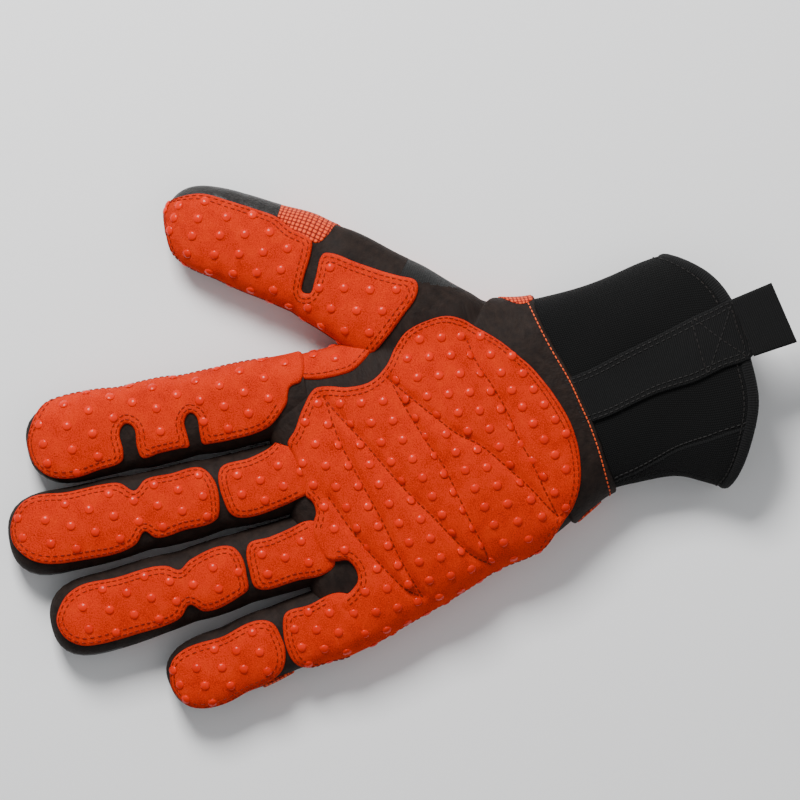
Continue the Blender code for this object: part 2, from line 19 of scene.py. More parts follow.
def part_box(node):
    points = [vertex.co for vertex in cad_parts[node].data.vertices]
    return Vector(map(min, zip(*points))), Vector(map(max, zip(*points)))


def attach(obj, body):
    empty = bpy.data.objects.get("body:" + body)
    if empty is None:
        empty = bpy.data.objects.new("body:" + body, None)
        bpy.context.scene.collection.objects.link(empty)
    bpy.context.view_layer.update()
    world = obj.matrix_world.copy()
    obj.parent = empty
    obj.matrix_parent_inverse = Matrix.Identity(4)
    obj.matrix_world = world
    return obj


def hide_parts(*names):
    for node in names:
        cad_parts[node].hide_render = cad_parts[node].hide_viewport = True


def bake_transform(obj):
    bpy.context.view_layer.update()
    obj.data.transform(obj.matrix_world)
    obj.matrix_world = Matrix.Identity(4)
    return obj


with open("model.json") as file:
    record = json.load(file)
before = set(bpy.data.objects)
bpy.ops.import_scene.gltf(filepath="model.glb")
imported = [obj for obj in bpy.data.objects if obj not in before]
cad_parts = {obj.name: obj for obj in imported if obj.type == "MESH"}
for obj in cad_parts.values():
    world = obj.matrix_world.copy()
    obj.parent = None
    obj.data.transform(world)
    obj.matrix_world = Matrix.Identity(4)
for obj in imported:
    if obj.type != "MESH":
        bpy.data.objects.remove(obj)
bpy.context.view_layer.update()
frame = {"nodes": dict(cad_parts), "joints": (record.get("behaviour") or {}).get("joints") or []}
joints = {j["name"]: Vector(j["pos_m"]) for j in frame["joints"]}

MM = 0.001
POWER = 2.5                      # how square the rounded sections are
UP = 90.0                        # section angle of the palm side
UNEVEN = 0.00035                 # how far soft material wanders from its form
CREASE_WIDTH = 0.0042            # a finger is a little narrower and flatter round each crease
CREASE_NARROWS, CREASE_FLATTENS = 0.030, 0.055


# ---- Numbers and outlines -------------------------------------------------------------------


def smoothstep(t):
    t = np.clip(t, 0.0, 1.0)
    return t * t * (3 - 2 * t)


def section(angle):
    """Points of the unit rounded section at polar angles in degrees."""
    c, s = np.cos(np.radians(angle)), np.sin(np.radians(angle))
    radius = (np.abs(c) ** POWER + np.abs(s) ** POWER) ** (-1 / POWER)
    return c * radius, s * radius


def curve_through(knots, spacing, closed=True):
    """A smooth curve through 2D knots, with a point every spacing metres."""
    knots = np.asarray(knots, float)
    n = len(knots)
    pieces = []
    for i in range(n if closed else n - 1):
        if closed:
            p0, p1, p2, p3 = knots[i - 1], knots[i], knots[(i + 1) % n], knots[(i + 2) % n]
        else:
            p0, p1, p2, p3 = knots[max(i - 1, 0)], knots[i], knots[i + 1], knots[min(i + 2, n - 1)]
        reach = np.linalg.norm(p2 - p1)
        t = np.linspace(0, 1, max(2, int(reach / spacing * 2)), endpoint=False)[:, None]
        before = max(np.linalg.norm(p1 - p0), 1e-9)
        after = max(np.linalg.norm(p3 - p2), 1e-9)
        m1 = ((p2 - p1) / reach + (p1 - p0) / before) / 2 * reach
        m2 = ((p3 - p2) / after + (p2 - p1) / reach) / 2 * reach
        if not closed and i == 0:
            m1 = p2 - p1
        if not closed and i == n - 2:
            m2 = p2 - p1
        pieces.append(p1 * (2 * t**3 - 3 * t**2 + 1) + p2 * (3 * t**2 - 2 * t**3)
                      + m1 * (t**3 - 2 * t**2 + t) + m2 * (t**3 - t**2))
    fine = np.vstack(pieces + ([knots[:1]] if closed else [knots[-1:]]))
    return resample(fine, spacing, closed)


def resample(line, spacing, closed=False):
    """Points at even distances along a polyline; a closed line's last point isn't repeated."""
    steps = np.linalg.norm(np.diff(line, axis=0), axis=1)
    along = np.concatenate([[0], np.cumsum(steps)])
    count = max(3, int(round(along[-1] / spacing)))
    places = np.linspace(0, along[-1], count + 1)
    if closed:
        places = places[:-1]
    return np.stack([np.interp(places, along, line[:, k]) for k in range(line.shape[1])], axis=1)


def distance_to(points, line, closed=False):
    """Distance of each 2D point from a polyline."""
    a = line
    b = np.roll(line, -1, axis=0) if closed else line[1:]
    a = a if closed else a[:-1]
    best = np.full(len(points), 1e9)
    ab = b - a
    length2 = np.maximum((ab**2).sum(1), 1e-18)
    for k in range(len(a)):
        t = np.clip(((points - a[k]) @ ab[k]) / length2[k], 0, 1)
        d = np.linalg.norm(points - a[k] - t[:, None] * ab[k], axis=1)
        best = np.minimum(best, d)
    return best


def inside(points, outline):
    """Which 2D points lie inside a closed outline."""
    x, y = points[:, 0], points[:, 1]
    found = np.zeros(len(points), bool)
    a, b = outline, np.roll(outline, -1, axis=0)
    for (ax, ay), (bx, by) in zip(a, b):
        crosses = (ay > y) != (by > y)
        where = ax + (y - ay) * (bx - ax) / (by - ay if by != ay else 1e-12)
        found ^= crosses & (x < where)
    return found


def inset(outline, depth):
    """The outline moved inwards, without the points that would come nearer than depth."""
    step = np.roll(outline, -1, axis=0) - np.roll(outline, 1, axis=0)
    normal = np.stack([-step[:, 1], step[:, 0]], axis=1)
    normal /= np.maximum(np.linalg.norm(normal, axis=1)[:, None], 1e-9)
    area = np.cross(outline, np.roll(outline, -1, axis=0)).sum()
    moved = outline + normal * depth * (1 if area > 0 else -1)
    keep = distance_to(moved, outline, closed=True) > depth * 0.93
    return moved[keep & inside(moved, outline)]


# ---- Forms: where the surface of the glove is ----------------------------------------------


def wave_warp(points):
    """Slow unevenness of soft material, the same for every layer, so that they stay together."""
    x, y, z = points[:, 0], points[:, 1], points[:, 2]
    shift = np.stack([
        np.sin(x * 190 + y * 83 + 1.3) * np.sin(y * 137 - 0.4),
        np.sin(x * 151 - y * 97 + 0.7) * np.sin(x * 89 + 2.1),
        np.sin(x * 167 + 0.9) * np.sin(y * 149 + x * 61 + 1.9),
    ], axis=1)
    shift[:, 2] *= smoothstep(z / 0.012)
    return points + shift * UNEVEN


def ring_faces(rings, around, closed=False):
    """Quads between rings of points, numbered ring by ring."""
    return [(i * around + k, i * around + (k + 1) % around,
             (i + 1) % rings * around + (k + 1) % around, (i + 1) % rings * around + k)
            for i in range(rings if closed else rings - 1) for k in range(around)]


class Form:
    """A surface over a flat domain: a runs across from the palm-side middle, s along the glove."""

    def normals(self, a, s):
        step = 0.0004
        da = self.surface(a + step, s) - self.surface(a - step, s)
        ds = self.surface(a, s + step) - self.surface(a, s - step)
        n = np.cross(da, ds)
        return n / np.maximum(np.linalg.norm(n, axis=1)[:, None], 1e-12)

    def place(self, a, s, height=0.0):
        """Points of the form lifted off it by height."""
        a, s = np.atleast_1d(np.asarray(a, float)), np.atleast_1d(np.asarray(s, float))
        height = np.broadcast_to(height, a.shape)
        return wave_warp(self.surface(a, s) + self.normals(a, s) * height[:, None])

    def at(self, points, height=0.0):
        """The same for points of the domain, one to a row."""
        return self.place(points[:, 0], points[:, 1], height)

    def make_arc_table(self, half_width, half_height):
        angles = np.linspace(UP, -UP, 721)
        x, z = section(angles)
        steps = np.hypot(np.diff(x * half_width), np.diff(z * half_height))
        self.arc_angles = angles
        self.arcs = np.concatenate([[0], np.cumsum(steps)])

    def angle_at(self, a):
        turned = np.interp(np.abs(a), self.arcs, self.arc_angles)
        return np.where(a >= 0, turned, 2 * UP - turned)

    def arc_at(self, angle):
        """Domain coordinate of a section angle; 90 is the palm side, 0 the thumb side."""
        angle = np.asarray(angle, float)
        angle = np.where(angle > 270, angle - 360, angle)
        turned = np.where(angle <= UP, angle, 2 * UP - angle)
        arc = np.interp(-turned, -self.arc_angles, self.arcs)
        return np.where(angle <= UP, arc, -arc)

    def arc_of_share(self, share):
        """Domain coordinate of a place at this share of the half width; past 1 it wraps round."""
        share = np.asarray(share, float)
        x = section(self.arc_angles)[0]
        side = self.arcs[np.argmax(x)]
        top = x[: np.argmax(x) + 1]
        flat = np.interp(np.minimum(np.abs(share), 1.0), top, self.arcs[: len(top)])
        past = np.maximum(np.abs(share) - 1.0, 0) * (self.arcs[-1] - side)
        return np.sign(share) * (flat + past)


class Finger(Form):
    """A finger or the thumb: a rounded tube on a centre line, closed by a dome."""

    def __init__(self, name, start, headings, bend_at, widths, heights, floor, length, dome):
        self.name, self.start, self.length, self.dome = name, start, length, dome
        self.widths, self.heights, self.floor = widths, heights, floor
        self.dome_start = length - dome
        self.dome_arc = dome * 1.35
        self.creases = ()
        steps = np.linspace(-0.055, length + 0.01, 600)
        turn = smoothstep((steps - bend_at + 0.012) / 0.024)
        heading = headings[0] + (headings[1] - headings[0]) * turn
        self.steps, self.heading = steps, heading
        gap = steps[1] - steps[0]
        x = np.concatenate([[0], np.cumsum(np.sin(heading[:-1]) * gap)])
        y = np.concatenate([[0], np.cumsum(np.cos(heading[:-1]) * gap)])
        zero = int(np.argmin(np.abs(steps)))
        self.x, self.y = x - x[zero] + start.x, y - y[zero] + start.y
        self.make_arc_table(sum(widths) / 4, sum(heights) / 4)

    def distance_of(self, joint):
        """Distance in plan of this finger's joint from the form's start."""
        place = joints[f"{self.name}_{joint}_joint"]
        return math.hypot(place.x - self.start.x, place.y - self.start.y)

    def sizes(self, s):
        t = np.clip(s / self.dome_start, -0.2, 1.0)
        half = (self.widths[0] + (self.widths[1] - self.widths[0]) * t) / 2
        height = self.heights[0] + (self.heights[1] - self.heights[0]) * t
        for crease in self.creases:
            pinch = np.exp(-((s - crease) / CREASE_WIDTH) ** 2)
            half, height = half * (1 - CREASE_NARROWS * pinch), height * (1 - CREASE_FLATTENS * pinch)
        return half, height

    def surface(self, a, s):
        angle = self.angle_at(a)
        straight = np.minimum(s, self.dome_start)
        round_the_end = np.clip((s - self.dome_start) / self.dome_arc, 0, 1) * UP
        forward, shrink = section(round_the_end)[1], section(round_the_end)[0]
        half, height = self.sizes(straight)
        across, up = section(angle)
        heading = np.interp(straight, self.steps, self.heading)
        x = np.interp(straight, self.steps, self.x) + forward * self.dome * np.sin(heading)
        y = np.interp(straight, self.steps, self.y) + forward * self.dome * np.cos(heading)
        side = half * shrink * across
        middle = self.floor + height / 2
        sag = forward**2 * -0.0012
        z = middle + sag + height / 2 * shrink * up
        return np.stack([x + np.cos(heading) * side, y - np.sin(heading) * side, z], axis=1)

    def domain(self, points):
        """Domain coordinates of plan points; a third value, if given, wraps past the side."""
        found = []
        for point in points:
            x, y = point[0] * MM, point[1] * MM
            i = int(np.argmin((self.x - x) ** 2 + (self.y - y) ** 2))
            s = self.steps[i]
            if s > self.dome_start:
                heading = self.heading[-1]
                base_x = np.interp(self.dome_start, self.steps, self.x)
                base_y = np.interp(self.dome_start, self.steps, self.y)
                ahead = (x - base_x) * np.sin(heading) + (y - base_y) * np.cos(heading)
                side = (x - base_x) * np.cos(heading) - (y - base_y) * np.sin(heading)
                rise = np.clip(ahead / self.dome, 0, 0.995)
                shrink = (1 - rise**POWER) ** (1 / POWER)
                s = self.dome_start + np.degrees(np.arctan2(rise, shrink)) / UP * self.dome_arc
                half = self.sizes(self.dome_start)[0] * shrink
            else:
                heading = self.heading[i]
                side = (x - self.x[i]) * np.cos(heading) - (y - self.y[i]) * np.sin(heading)
                half = self.sizes(s)[0]
            share = side / half if len(point) < 3 else point[2]
            found.append((float(self.arc_of_share(share)), float(s)))
        return np.array(found)


class Trunk(Form):
    """The hand and the cuff: sections across the glove, tilted to the wrist's slant."""

    def __init__(self, rows, split_z, wrist_y, slant):
        rows = np.array(rows)
        self.split_z, self.wrist_y, self.slant = split_z, wrist_y, slant
        fine = curve_through(rows, 0.002, closed=False)
        fine = fine[np.argsort(fine[:, 0])]
        self.rows = fine
        self.make_arc_table(0.044, 0.0135)

    def sizes(self, y):
        return [np.interp(y, self.rows[:, 0], self.rows[:, k]) for k in (1, 2, 3)]

    def tilt(self, y):
        away = np.abs(y - self.wrist_y) / np.where(y > self.wrist_y, 0.035, 0.044)
        return self.slant * np.maximum(0.0, 1 - away)

    def surface(self, a, s):
        left, right, height = self.sizes(s)
        across, up = section(self.angle_at(a))
        middle, half = (left + right) / 2, (right - left) / 2
        top = self.split_z + (height - self.split_z) * up
        low = np.maximum(self.split_z + self.split_z * 1.05 * up, 0.0004)
        y = s + self.tilt(s) * half * across
        return np.stack([middle + half * across, y, np.where(up > 0, top, low)], axis=1)

    def domain(self, points):
        found = []
        for point in points:
            x, y = point[0] * MM, point[1] * MM
            s = y
            for _ in range(4):
                left, right, _ = self.sizes(s)
                s = y - self.tilt(s) * (x - (left + right) / 2)
            share = (x - (left + right) / 2) / ((right - left) / 2) if len(point) < 3 else point[2]
            found.append((float(self.arc_of_share(share)), float(s)))
        return np.array(found)


KNUCKLE = joints["index_root_joint"].y
WRIST = joints["wrist_joint"]


def finger_form(name, widths, heights, floor):
    """A finger's form from its joints and its tip in the frame."""
    root, end = joints[f"{name}_root_joint"], joints[f"{name}_end_joint"]
    lean = math.atan2(end.x - root.x, end.y - root.y)
    length = (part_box(f"{name}_tip_sleeve")[1].y - root.y) / math.cos(lean)
    start = Vector((root.x, root.y, 0))
    return Finger(name, start, (lean, lean), 0.03, widths, heights, floor, length, 0.0175)


def thumb_form():
    """The thumb's form: it turns towards the fingers at its end joint."""
    root, end = joints["thumb_root_joint"], joints["thumb_end_joint"]
    first = math.atan2(end.x - root.x, end.y - root.y)
    second = first - math.radians(10.5)
    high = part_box("thumb_tip_sleeve")[1]
    base = math.hypot(end.x - root.x, end.y - root.y)
    ahead = Vector((math.sin(second), math.cos(second), 0))
    length = base + (high.y - end.y) / ahead.y * 0.925
    outwards = Vector((math.cos(first), -math.sin(first), 0)) * 0.0024
    start = Vector((root.x, root.y, 0)) + outwards
    return Finger("thumb", start, (first, second), base,
                  (0.0352, 0.0288), (0.0220, 0.0180), 0.0010, length, 0.0225)


fingers = {
    "index": finger_form("index", (0.0268, 0.0285), (0.0190, 0.0168), 0.0006),
    "middle": finger_form("middle", (0.0245, 0.0286), (0.0190, 0.0170), 0.0006),
    "ring": finger_form("ring", (0.0240, 0.0272), (0.0188, 0.0166), 0.0006),
    "little": finger_form("little", (0.0228, 0.0250), (0.0180, 0.0160), 0.0006),
    "thumb": thumb_form(),
}
FINGER_NAMES = ("index", "middle", "ring", "little")
for name, form in fingers.items():
    form.creases = [form.distance_of(j) for j in ("middle", "end") if f"{name}_{j}_joint" in joints]

# Sections of hand and cuff: y, left edge, right edge, height.
TRUNK_ROWS = (
    (-0.1260, -0.0575, 0.0190, 0.0262),
    (-0.1130, -0.0590, 0.0205, 0.0262),
    (-0.1030, -0.0588, 0.0222, 0.0260),
    (-0.0960, -0.0555, 0.0218, 0.0258),
    (-0.0860, -0.0512, 0.0204, 0.0254),
    (-0.0700, -0.0494, 0.0190, 0.0252),
    (-0.0591, -0.0500, 0.0196, 0.0256),
    (-0.0500, -0.0547, 0.0212, 0.0262),
    (-0.0380, -0.0606, 0.0240, 0.0270),
    (-0.0200, -0.0643, 0.0230, 0.0278),
    (-0.0020, -0.0698, 0.0215, 0.0274),
    (0.0140, -0.0745, 0.0203, 0.0246),
    (0.0260, -0.0775, 0.0207, 0.0222),
    (0.0343, -0.0785, 0.0222, 0.0204),
    (0.0420, -0.0785, 0.0230, 0.0188),
)
trunk = Trunk(TRUNK_ROWS, 0.0115, WRIST.y, 0.154)


# ---- Materials --------------------------------------------------------------------------------


class Nodes:
    """Short calls for building a node material over the cloth's own coordinates, in mm."""

    def __init__(self, name, colour, roughness):
        self.material = bpy.data.materials.new(name)
        self.material.use_nodes = True
        self.tree = self.material.node_tree
        self.shader = self.tree.nodes["Principled BSDF"]
        self.shader.inputs["Base Color"].default_value = (*colour, 1)
        self.shader.inputs["Roughness"].default_value = roughness
        uv = self.tree.nodes.new("ShaderNodeUVMap")
        uv.uv_map = "cloth"
        self.coordinates = uv.outputs["UV"]

    def link(self, output, socket):
        self.tree.links.new(output, socket)

    def noise(self, scale, detail=3.0, roughness=0.6):
        node = self.tree.nodes.new("ShaderNodeTexNoise")
        node.inputs["Scale"].default_value = scale
        node.inputs["Detail"].default_value = detail
        node.inputs["Roughness"].default_value = roughness
        self.link(self.coordinates, node.inputs["Vector"])
        return node.outputs["Fac"]

    def voronoi(self, scale, feature="F1"):
        node = self.tree.nodes.new("ShaderNodeTexVoronoi")
        node.feature = feature
        node.inputs["Scale"].default_value = scale
        self.link(self.coordinates, node.inputs["Vector"])
        return node.outputs["Distance"]

    def math(self, operation, a, b=0.0, c=0.0):
        node = self.tree.nodes.new("ShaderNodeMath")
        node.operation = operation
        for socket, value in zip(node.inputs, (a, b, c)):
            if isinstance(value, (int, float)):
                socket.default_value = value
            else:
                self.link(value, socket)
        return node.outputs["Value"]

    def axes(self):
        node = self.tree.nodes.new("ShaderNodeSeparateXYZ")
        self.link(self.coordinates, node.inputs["Vector"])
        return node.outputs["X"], node.outputs["Y"]

    def ramp(self, value, stops):
        node = self.tree.nodes.new("ShaderNodeValToRGB")
        elements = node.color_ramp.elements
        while len(elements) < len(stops):
            elements.new(0.5)
        for element, (position, colour) in zip(elements, stops):
            element.position = position
            element.color = (*colour, 1)
        self.link(value, node.inputs["Fac"])
        return node.outputs["Color"]

    def colour(self, value, stops):
        self.link(self.ramp(value, stops), self.shader.inputs["Base Color"])

    def rough(self, value, low, high):
        node = self.tree.nodes.new("ShaderNodeMapRange")
        node.inputs["To Min"].default_value = low
        node.inputs["To Max"].default_value = high
        self.link(value, node.inputs["Value"])
        self.link(node.outputs["Result"], self.shader.inputs["Roughness"])

    def bump(self, height, distance, strength=1.0):
        node = self.tree.nodes.new("ShaderNodeBump")
        node.inputs["Distance"].default_value = distance
        node.inputs["Strength"].default_value = strength
        self.link(height, node.inputs["Height"])
        self.link(node.outputs["Normal"], self.shader.inputs["Normal"])

    def sheen(self, weight, roughness, tint):
        self.shader.inputs["Sheen Weight"].default_value = weight
        self.shader.inputs["Sheen Roughness"].default_value = roughness
        self.shader.inputs["Sheen Tint"].default_value = (*tint, 1)


def suede(name, dark, mid, light):
    n = Nodes(name, mid, 0.9)
    nap = n.noise(2.2, 4.0, 0.75)
    cloud = n.noise(0.16, 2.0, 0.5)
    mixed = n.math("ADD", n.math("MULTIPLY", nap, 0.72), n.math("MULTIPLY", cloud, 0.28))
    n.colour(mixed, ((0.34, dark), (0.50, mid), (0.66, light)))
    n.rough(nap, 0.80, 0.97)
    n.bump(n.math("ADD", n.noise(4.5, 3.0, 0.7), n.math("MULTIPLY", nap, 0.8)), 0.0007, 1.0)
    n.sheen(0.04, 0.5, (1.0, 0.20, 0.05))
    n.shader.inputs["Specular IOR Level"].default_value = 0.12
    return n.material


def silicone(name):
    n = Nodes(name, (0.80, 0.010, 0.002), 0.22)
    n.colour(n.noise(0.4, 1.0), ((0.3, (0.58, 0.0130, 0.0002)), (0.7, (0.72, 0.0200, 0.0003))))
    n.rough(n.noise(3.0, 2.0), 0.16, 0.28)
    n.shader.inputs["Specular IOR Level"].default_value = 0.17
    return n.material


def leather(name, dark, light, roughness=(0.55, 0.80), pore=2.6, depth=0.00008, shine=0.14):
    n = Nodes(name, light, 0.45)
    pores = n.voronoi(pore)
    cloud = n.noise(0.3, 3.0)
    n.colour(cloud, ((0.3, dark), (0.7, light)))
    n.rough(n.math("ADD", n.math("MULTIPLY", pores, 0.5), n.math("MULTIPLY", cloud, 0.5)), *roughness)
    wrinkles = n.math("MULTIPLY", n.noise(0.22, 3.0, 0.6), 9.0)
    n.bump(n.math("ADD", wrinkles, n.math("ADD", pores, n.math("MULTIPLY", n.noise(5.0, 2.0), 0.5))),
           depth, 0.8)
    n.shader.inputs["Specular IOR Level"].default_value = shine
    return n.material


def basket_weave(name, dark, mid, light, pitch):
    """Lumps that lie alternately across and along, as flat yarns woven over and under."""
    n = Nodes(name, mid, 0.75)
    x, y = n.axes()
    u, v = n.math("DIVIDE", x, pitch), n.math("DIVIDE", y, pitch)
    fu, fv = n.math("FRACT", u), n.math("FRACT", v)
    whole = n.math("ADD", n.math("FLOOR", u), n.math("FLOOR", v))
    odd = n.math("PINGPONG", whole, 1.0)
    hump_u = n.math("SINE", n.math("MULTIPLY", fu, math.pi))
    hump_v = n.math("SINE", n.math("MULTIPLY", fv, math.pi))
    across = n.math("MULTIPLY", n.math("POWER", hump_v, 0.55), n.math("POWER", hump_u, 0.30))
    along = n.math("MULTIPLY", n.math("POWER", hump_u, 0.55), n.math("POWER", hump_v, 0.30))
    lumps = n.math("ADD", n.math("MULTIPLY", across, odd),
                   n.math("MULTIPLY", along, n.math("SUBTRACT", 1.0, odd)))
    strands = n.math("MULTIPLY", n.noise(6.0, 2.0), 0.25)
    height = n.math("ADD", lumps, strands)
    # Colour follows the relief: painted shade in the hollows between the lumps and painted light on
    # their tops, with random tone from the strands.
    n.colour(height, ((0.25, dark), (0.75, mid), (1.05, light)))
    n.rough(lumps, 0.9, 0.62)
    n.bump(height, 0.0005, 1.0)
    n.sheen(0.08, 0.4, (1.0, 0.4, 0.2))
    n.shader.inputs["Specular IOR Level"].default_value = 0.3
    return n.material


def knit(name, dark, light, pitch, depth, sheen_weight=0.3):
    """Fine ribs of a knitted face: small V loops in columns."""
    n = Nodes(name, light, 0.85)
    x, y = n.axes()
    u, v = n.math("DIVIDE", x, pitch), n.math("DIVIDE", y, pitch * 0.8)
    wave = n.math("PINGPONG", u, 0.5)
    slanted = n.math("ADD", v, n.math("MULTIPLY", wave, 0.9))
    loops = n.math("SINE", n.math("MULTIPLY", slanted, 2 * math.pi))
    column = n.math("SINE", n.math("MULTIPLY", u, 2 * math.pi))
    fuzz = n.noise(5.0, 3.0, 0.7)
    height = n.math("ADD", n.math("MULTIPLY", loops, 0.35),
                    n.math("ADD", n.math("MULTIPLY", column, 0.25), fuzz))
    # Colour follows the relief: painted shade in the hollows between loops and ribs and painted light on
    # their tops, with random tone from the fuzz.
    n.colour(height, ((0.2, dark), (1.1, light)))
    n.rough(fuzz, 0.78, 0.95)
    n.bump(height, depth, 1.0)
    n.sheen(sheen_weight, 0.5, (0.8, 0.8, 0.8))
    n.shader.inputs["Specular IOR Level"].default_value = 0.12
    return n.material


def webbing(name, dark, light):
    """Fine ribbed tape."""
    n = Nodes(name, light, 0.8)
    x, y = n.axes()
    rib = n.math("SINE", n.math("MULTIPLY", n.math("ADD", x, n.math("MULTIPLY", y, 0.5)), 9.0))
    other = n.math("SINE", n.math("MULTIPLY", n.math("SUBTRACT", x, n.math("MULTIPLY", y, 0.5)), 9.0))
    height = n.math("ADD", n.math("MULTIPLY", rib, other), n.noise(5.0, 2.0))
    # Colour follows the ribs: painted shade in their hollows and painted light on their crests, with
    # random tone from the noise.
    n.colour(height, ((0.1, dark), (1.1, light)))
    n.bump(height, 0.00018, 0.8)
    n.sheen(0.03, 0.5, (0.7, 0.7, 0.7))
    n.shader.inputs["Specular IOR Level"].default_value = 0.15
    return n.material


def thread(name, dark, light):
    n = Nodes(name, light, 0.6)
    n.colour(n.noise(1.7, 2.0), ((0.3, dark), (0.7, light)))
    n.rough(n.noise(3.0, 2.0), 0.5, 0.75)
    n.sheen(0.05, 0.4, (1.0, 0.5, 0.4))
    n.shader.inputs["Specular IOR Level"].default_value = 0.2
    return n.material


MATERIALS = {
    "suede": (suede("suede", (0.44, 0.0115, 0.0006), (0.86, 0.029, 0.0012), (1.0, 0.058, 0.0030)),
              "suede_orange"),
    "dots": (silicone("silicone"), "silicone_red"),
    "leather": (leather("black_leather", (0.008, 0.0045, 0.0035), (0.020, 0.012, 0.009)),
                "leather_black"),
    "cap": (leather("cap_leather", (0.006, 0.005, 0.0045), (0.014, 0.012, 0.011), (0.36, 0.52),
                    1.6, 0.00012, 0.30),
            "leather_black"),
    # The weave's dark end is painted shade in its hollows, and its light end is painted light on its
    # lumps.
    "weave": (basket_weave("basket_weave", (0.10, 0.003, 0.0008), (0.50, 0.022, 0.0026),
                           (0.85, 0.085, 0.013), 1.45), "woven_orange"),
    # The knits here and the lining below: their dark ends are painted shade in the hollows, and their
    # light ends are painted light on the loops.
    "knit": (knit("cuff_knit", (0.002, 0.002, 0.002), (0.0075, 0.0075, 0.0075), 0.9, 0.00016, 0.03),
             "neoprene_black"),
    "gusset": (knit("gusset_knit", (0.0015, 0.0015, 0.0015), (0.0050, 0.0050, 0.0050), 1.5, 0.00025,
                    0.02),
               "neoprene_black"),
    "fuzz": (knit("fuzzy_knit", (0.006, 0.006, 0.006), (0.022, 0.021, 0.020), 0.7, 0.00014, 0.14),
             "neoprene_black"),
    # The webbing's dark end is painted shade between its ribs, and its light end is painted light on
    # them.
    "webbing": (webbing("webbing", (0.003, 0.003, 0.003), (0.012, 0.012, 0.012)), "webbing_black"),
    "lining": (knit("lining", (0.006, 0.006, 0.006), (0.020, 0.020, 0.020), 0.8, 0.0001, 0.05),
               "webbing_black"),
    "thread_orange": (thread("orange_thread", (0.62, 0.055, 0.012), (0.90, 0.14, 0.035)),
                      "thread_orange"),
    "thread_rust": (thread("rust_thread", (0.13, 0.0065, 0.0010), (0.30, 0.017, 0.003)),
                    "thread_orange"),
    "thread_black": (thread("black_thread", (0.006, 0.006, 0.006), (0.022, 0.021, 0.020)),
                     "webbing_black"),
}


# ---- Zones and pieces ---------------------------------------------------------------------------


FAR = 1.0                        # beyond every piece
HAND_CUT = -0.046                # y of the cut between the hand's rigid and its bending zone
WRIST_BEND = (-0.050, -0.068)    # y where the wrist's bend starts and ends


def path_point(form, s):
    return (float(np.interp(s, form.steps, form.x)), float(np.interp(s, form.steps, form.y)), 0.0)


def bend_across(form, a, b, s, before, after):
    return ("blend", a, b, path_point(form, s - before), path_point(form, s + after))


def finger_zones(name):
    """Zones of a finger, cut in the rigid middle of each segment."""
    form = fingers[name]
    at = form.creases
    reach, root_reach = (0.006, 0.007) if name == "little" else (0.007, 0.009)
    return [
        ("root", -FAR, at[0] / 2 + 0.002,
         bend_across(form, "hand", f"{name}_base", 0.0, 0.004, root_reach)),
        ("middle", at[0] / 2 + 0.002, (at[0] + at[1]) / 2,
         bend_across(form, f"{name}_base", f"{name}_middle", at[0], reach, reach)),
        ("tip", (at[0] + at[1]) / 2, FAR,
         bend_across(form, f"{name}_middle", f"{name}_end", at[1], 0.006, 0.006)),
    ]


def thumb_zones():
    """Zones of the thumb, cut in the middle of its root part."""
    form = fingers["thumb"]
    at = form.creases[0]
    return [
        ("root", -FAR, at / 2, bend_across(form, "hand", "thumb_base", 0.0, 0.003, 0.007)),
        ("tip", at / 2, FAR, bend_across(form, "thumb_base", "thumb_end", at, 0.007, 0.007)),
    ]


ZONES = {name: finger_zones(name) for name in FINGER_NAMES}
ZONES["thumb"] = thumb_zones()
ZONES["hand"] = [
    ("wrist", -FAR, HAND_CUT,
     ("blend", "hand", "cuff", (WRIST.x, WRIST_BEND[0], 0.0), (WRIST.x, WRIST_BEND[1], 0.0))),
    ("palm", HAND_CUT, FAR, ("ride", "hand")),
]
ZONES["tab"] = [("loop", -FAR, FAR, ("ride", "tab"))]


def vertex_normals(verts, faces):
    normals = np.zeros_like(verts)
    for size in (3, 4):
        group = np.array([f for f in faces if len(f) == size])
        if not len(group):
            continue
        p = verts[group]
        n = np.cross(p[:, 2] - p[:, 0], p[:, -1] - p[:, 1] if size == 4 else p[:, 1] - p[:, 0])
        n = -n if size == 3 else n
        for k in range(size):
            np.add.at(normals, group[:, k], n)
    return normals / np.maximum(np.linalg.norm(normals, axis=1)[:, None], 1e-12)


def pick(faces, chosen):
    """The chosen faces, numbered anew, and the vertices that they use."""
    part = [face for face, wanted in zip(faces, chosen) if wanted]
    used = sorted({v for face in part for v in face})
    number = {v: i for i, v in enumerate(used)}
    return used, [tuple(number[v] for v in face) for face in part]


def emit(name, owner, key, verts, faces, uv, along):
    """Makes the piece's objects, one for each zone that it reaches into."""
    verts = np.asarray(verts, float)
    uv, along = np.asarray(uv, float), np.asarray(along, float)
    normals = vertex_normals(verts, faces)
    middles = np.array([along[list(f)].mean() for f in faces])
    material, slot = MATERIALS[key]
    objects = []
    for suffix, low, high, action in ZONES[owner]:
        used, part = pick(faces, (middles >= low) & (middles < high))
        if not part:
            continue
        mesh = bpy.data.meshes.new(f"{name}_{suffix}")
        mesh.from_pydata(verts[used].tolist(), [], part)
        mesh.shade_smooth()
        corner = np.empty(len(mesh.loops), int)
        mesh.loops.foreach_get("vertex_index", corner)
        layer = mesh.uv_layers.new(name="cloth")
        layer.data.foreach_set("uv", (uv[used][corner] / MM).ravel())
        mesh.materials.append(material)
        mesh.normals_split_custom_set_from_vertices(normals[used].tolist())
        obj = bpy.data.objects.new(f"{name}_{suffix}", mesh)
        bpy.context.scene.collection.objects.link(obj)
        if action[0] == "blend":
            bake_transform(obj)
        else:
            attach(obj, action[1])
        objects.append(obj)
    return objects


# ---- Panels, dots and stitches --------------------------------------------------------------


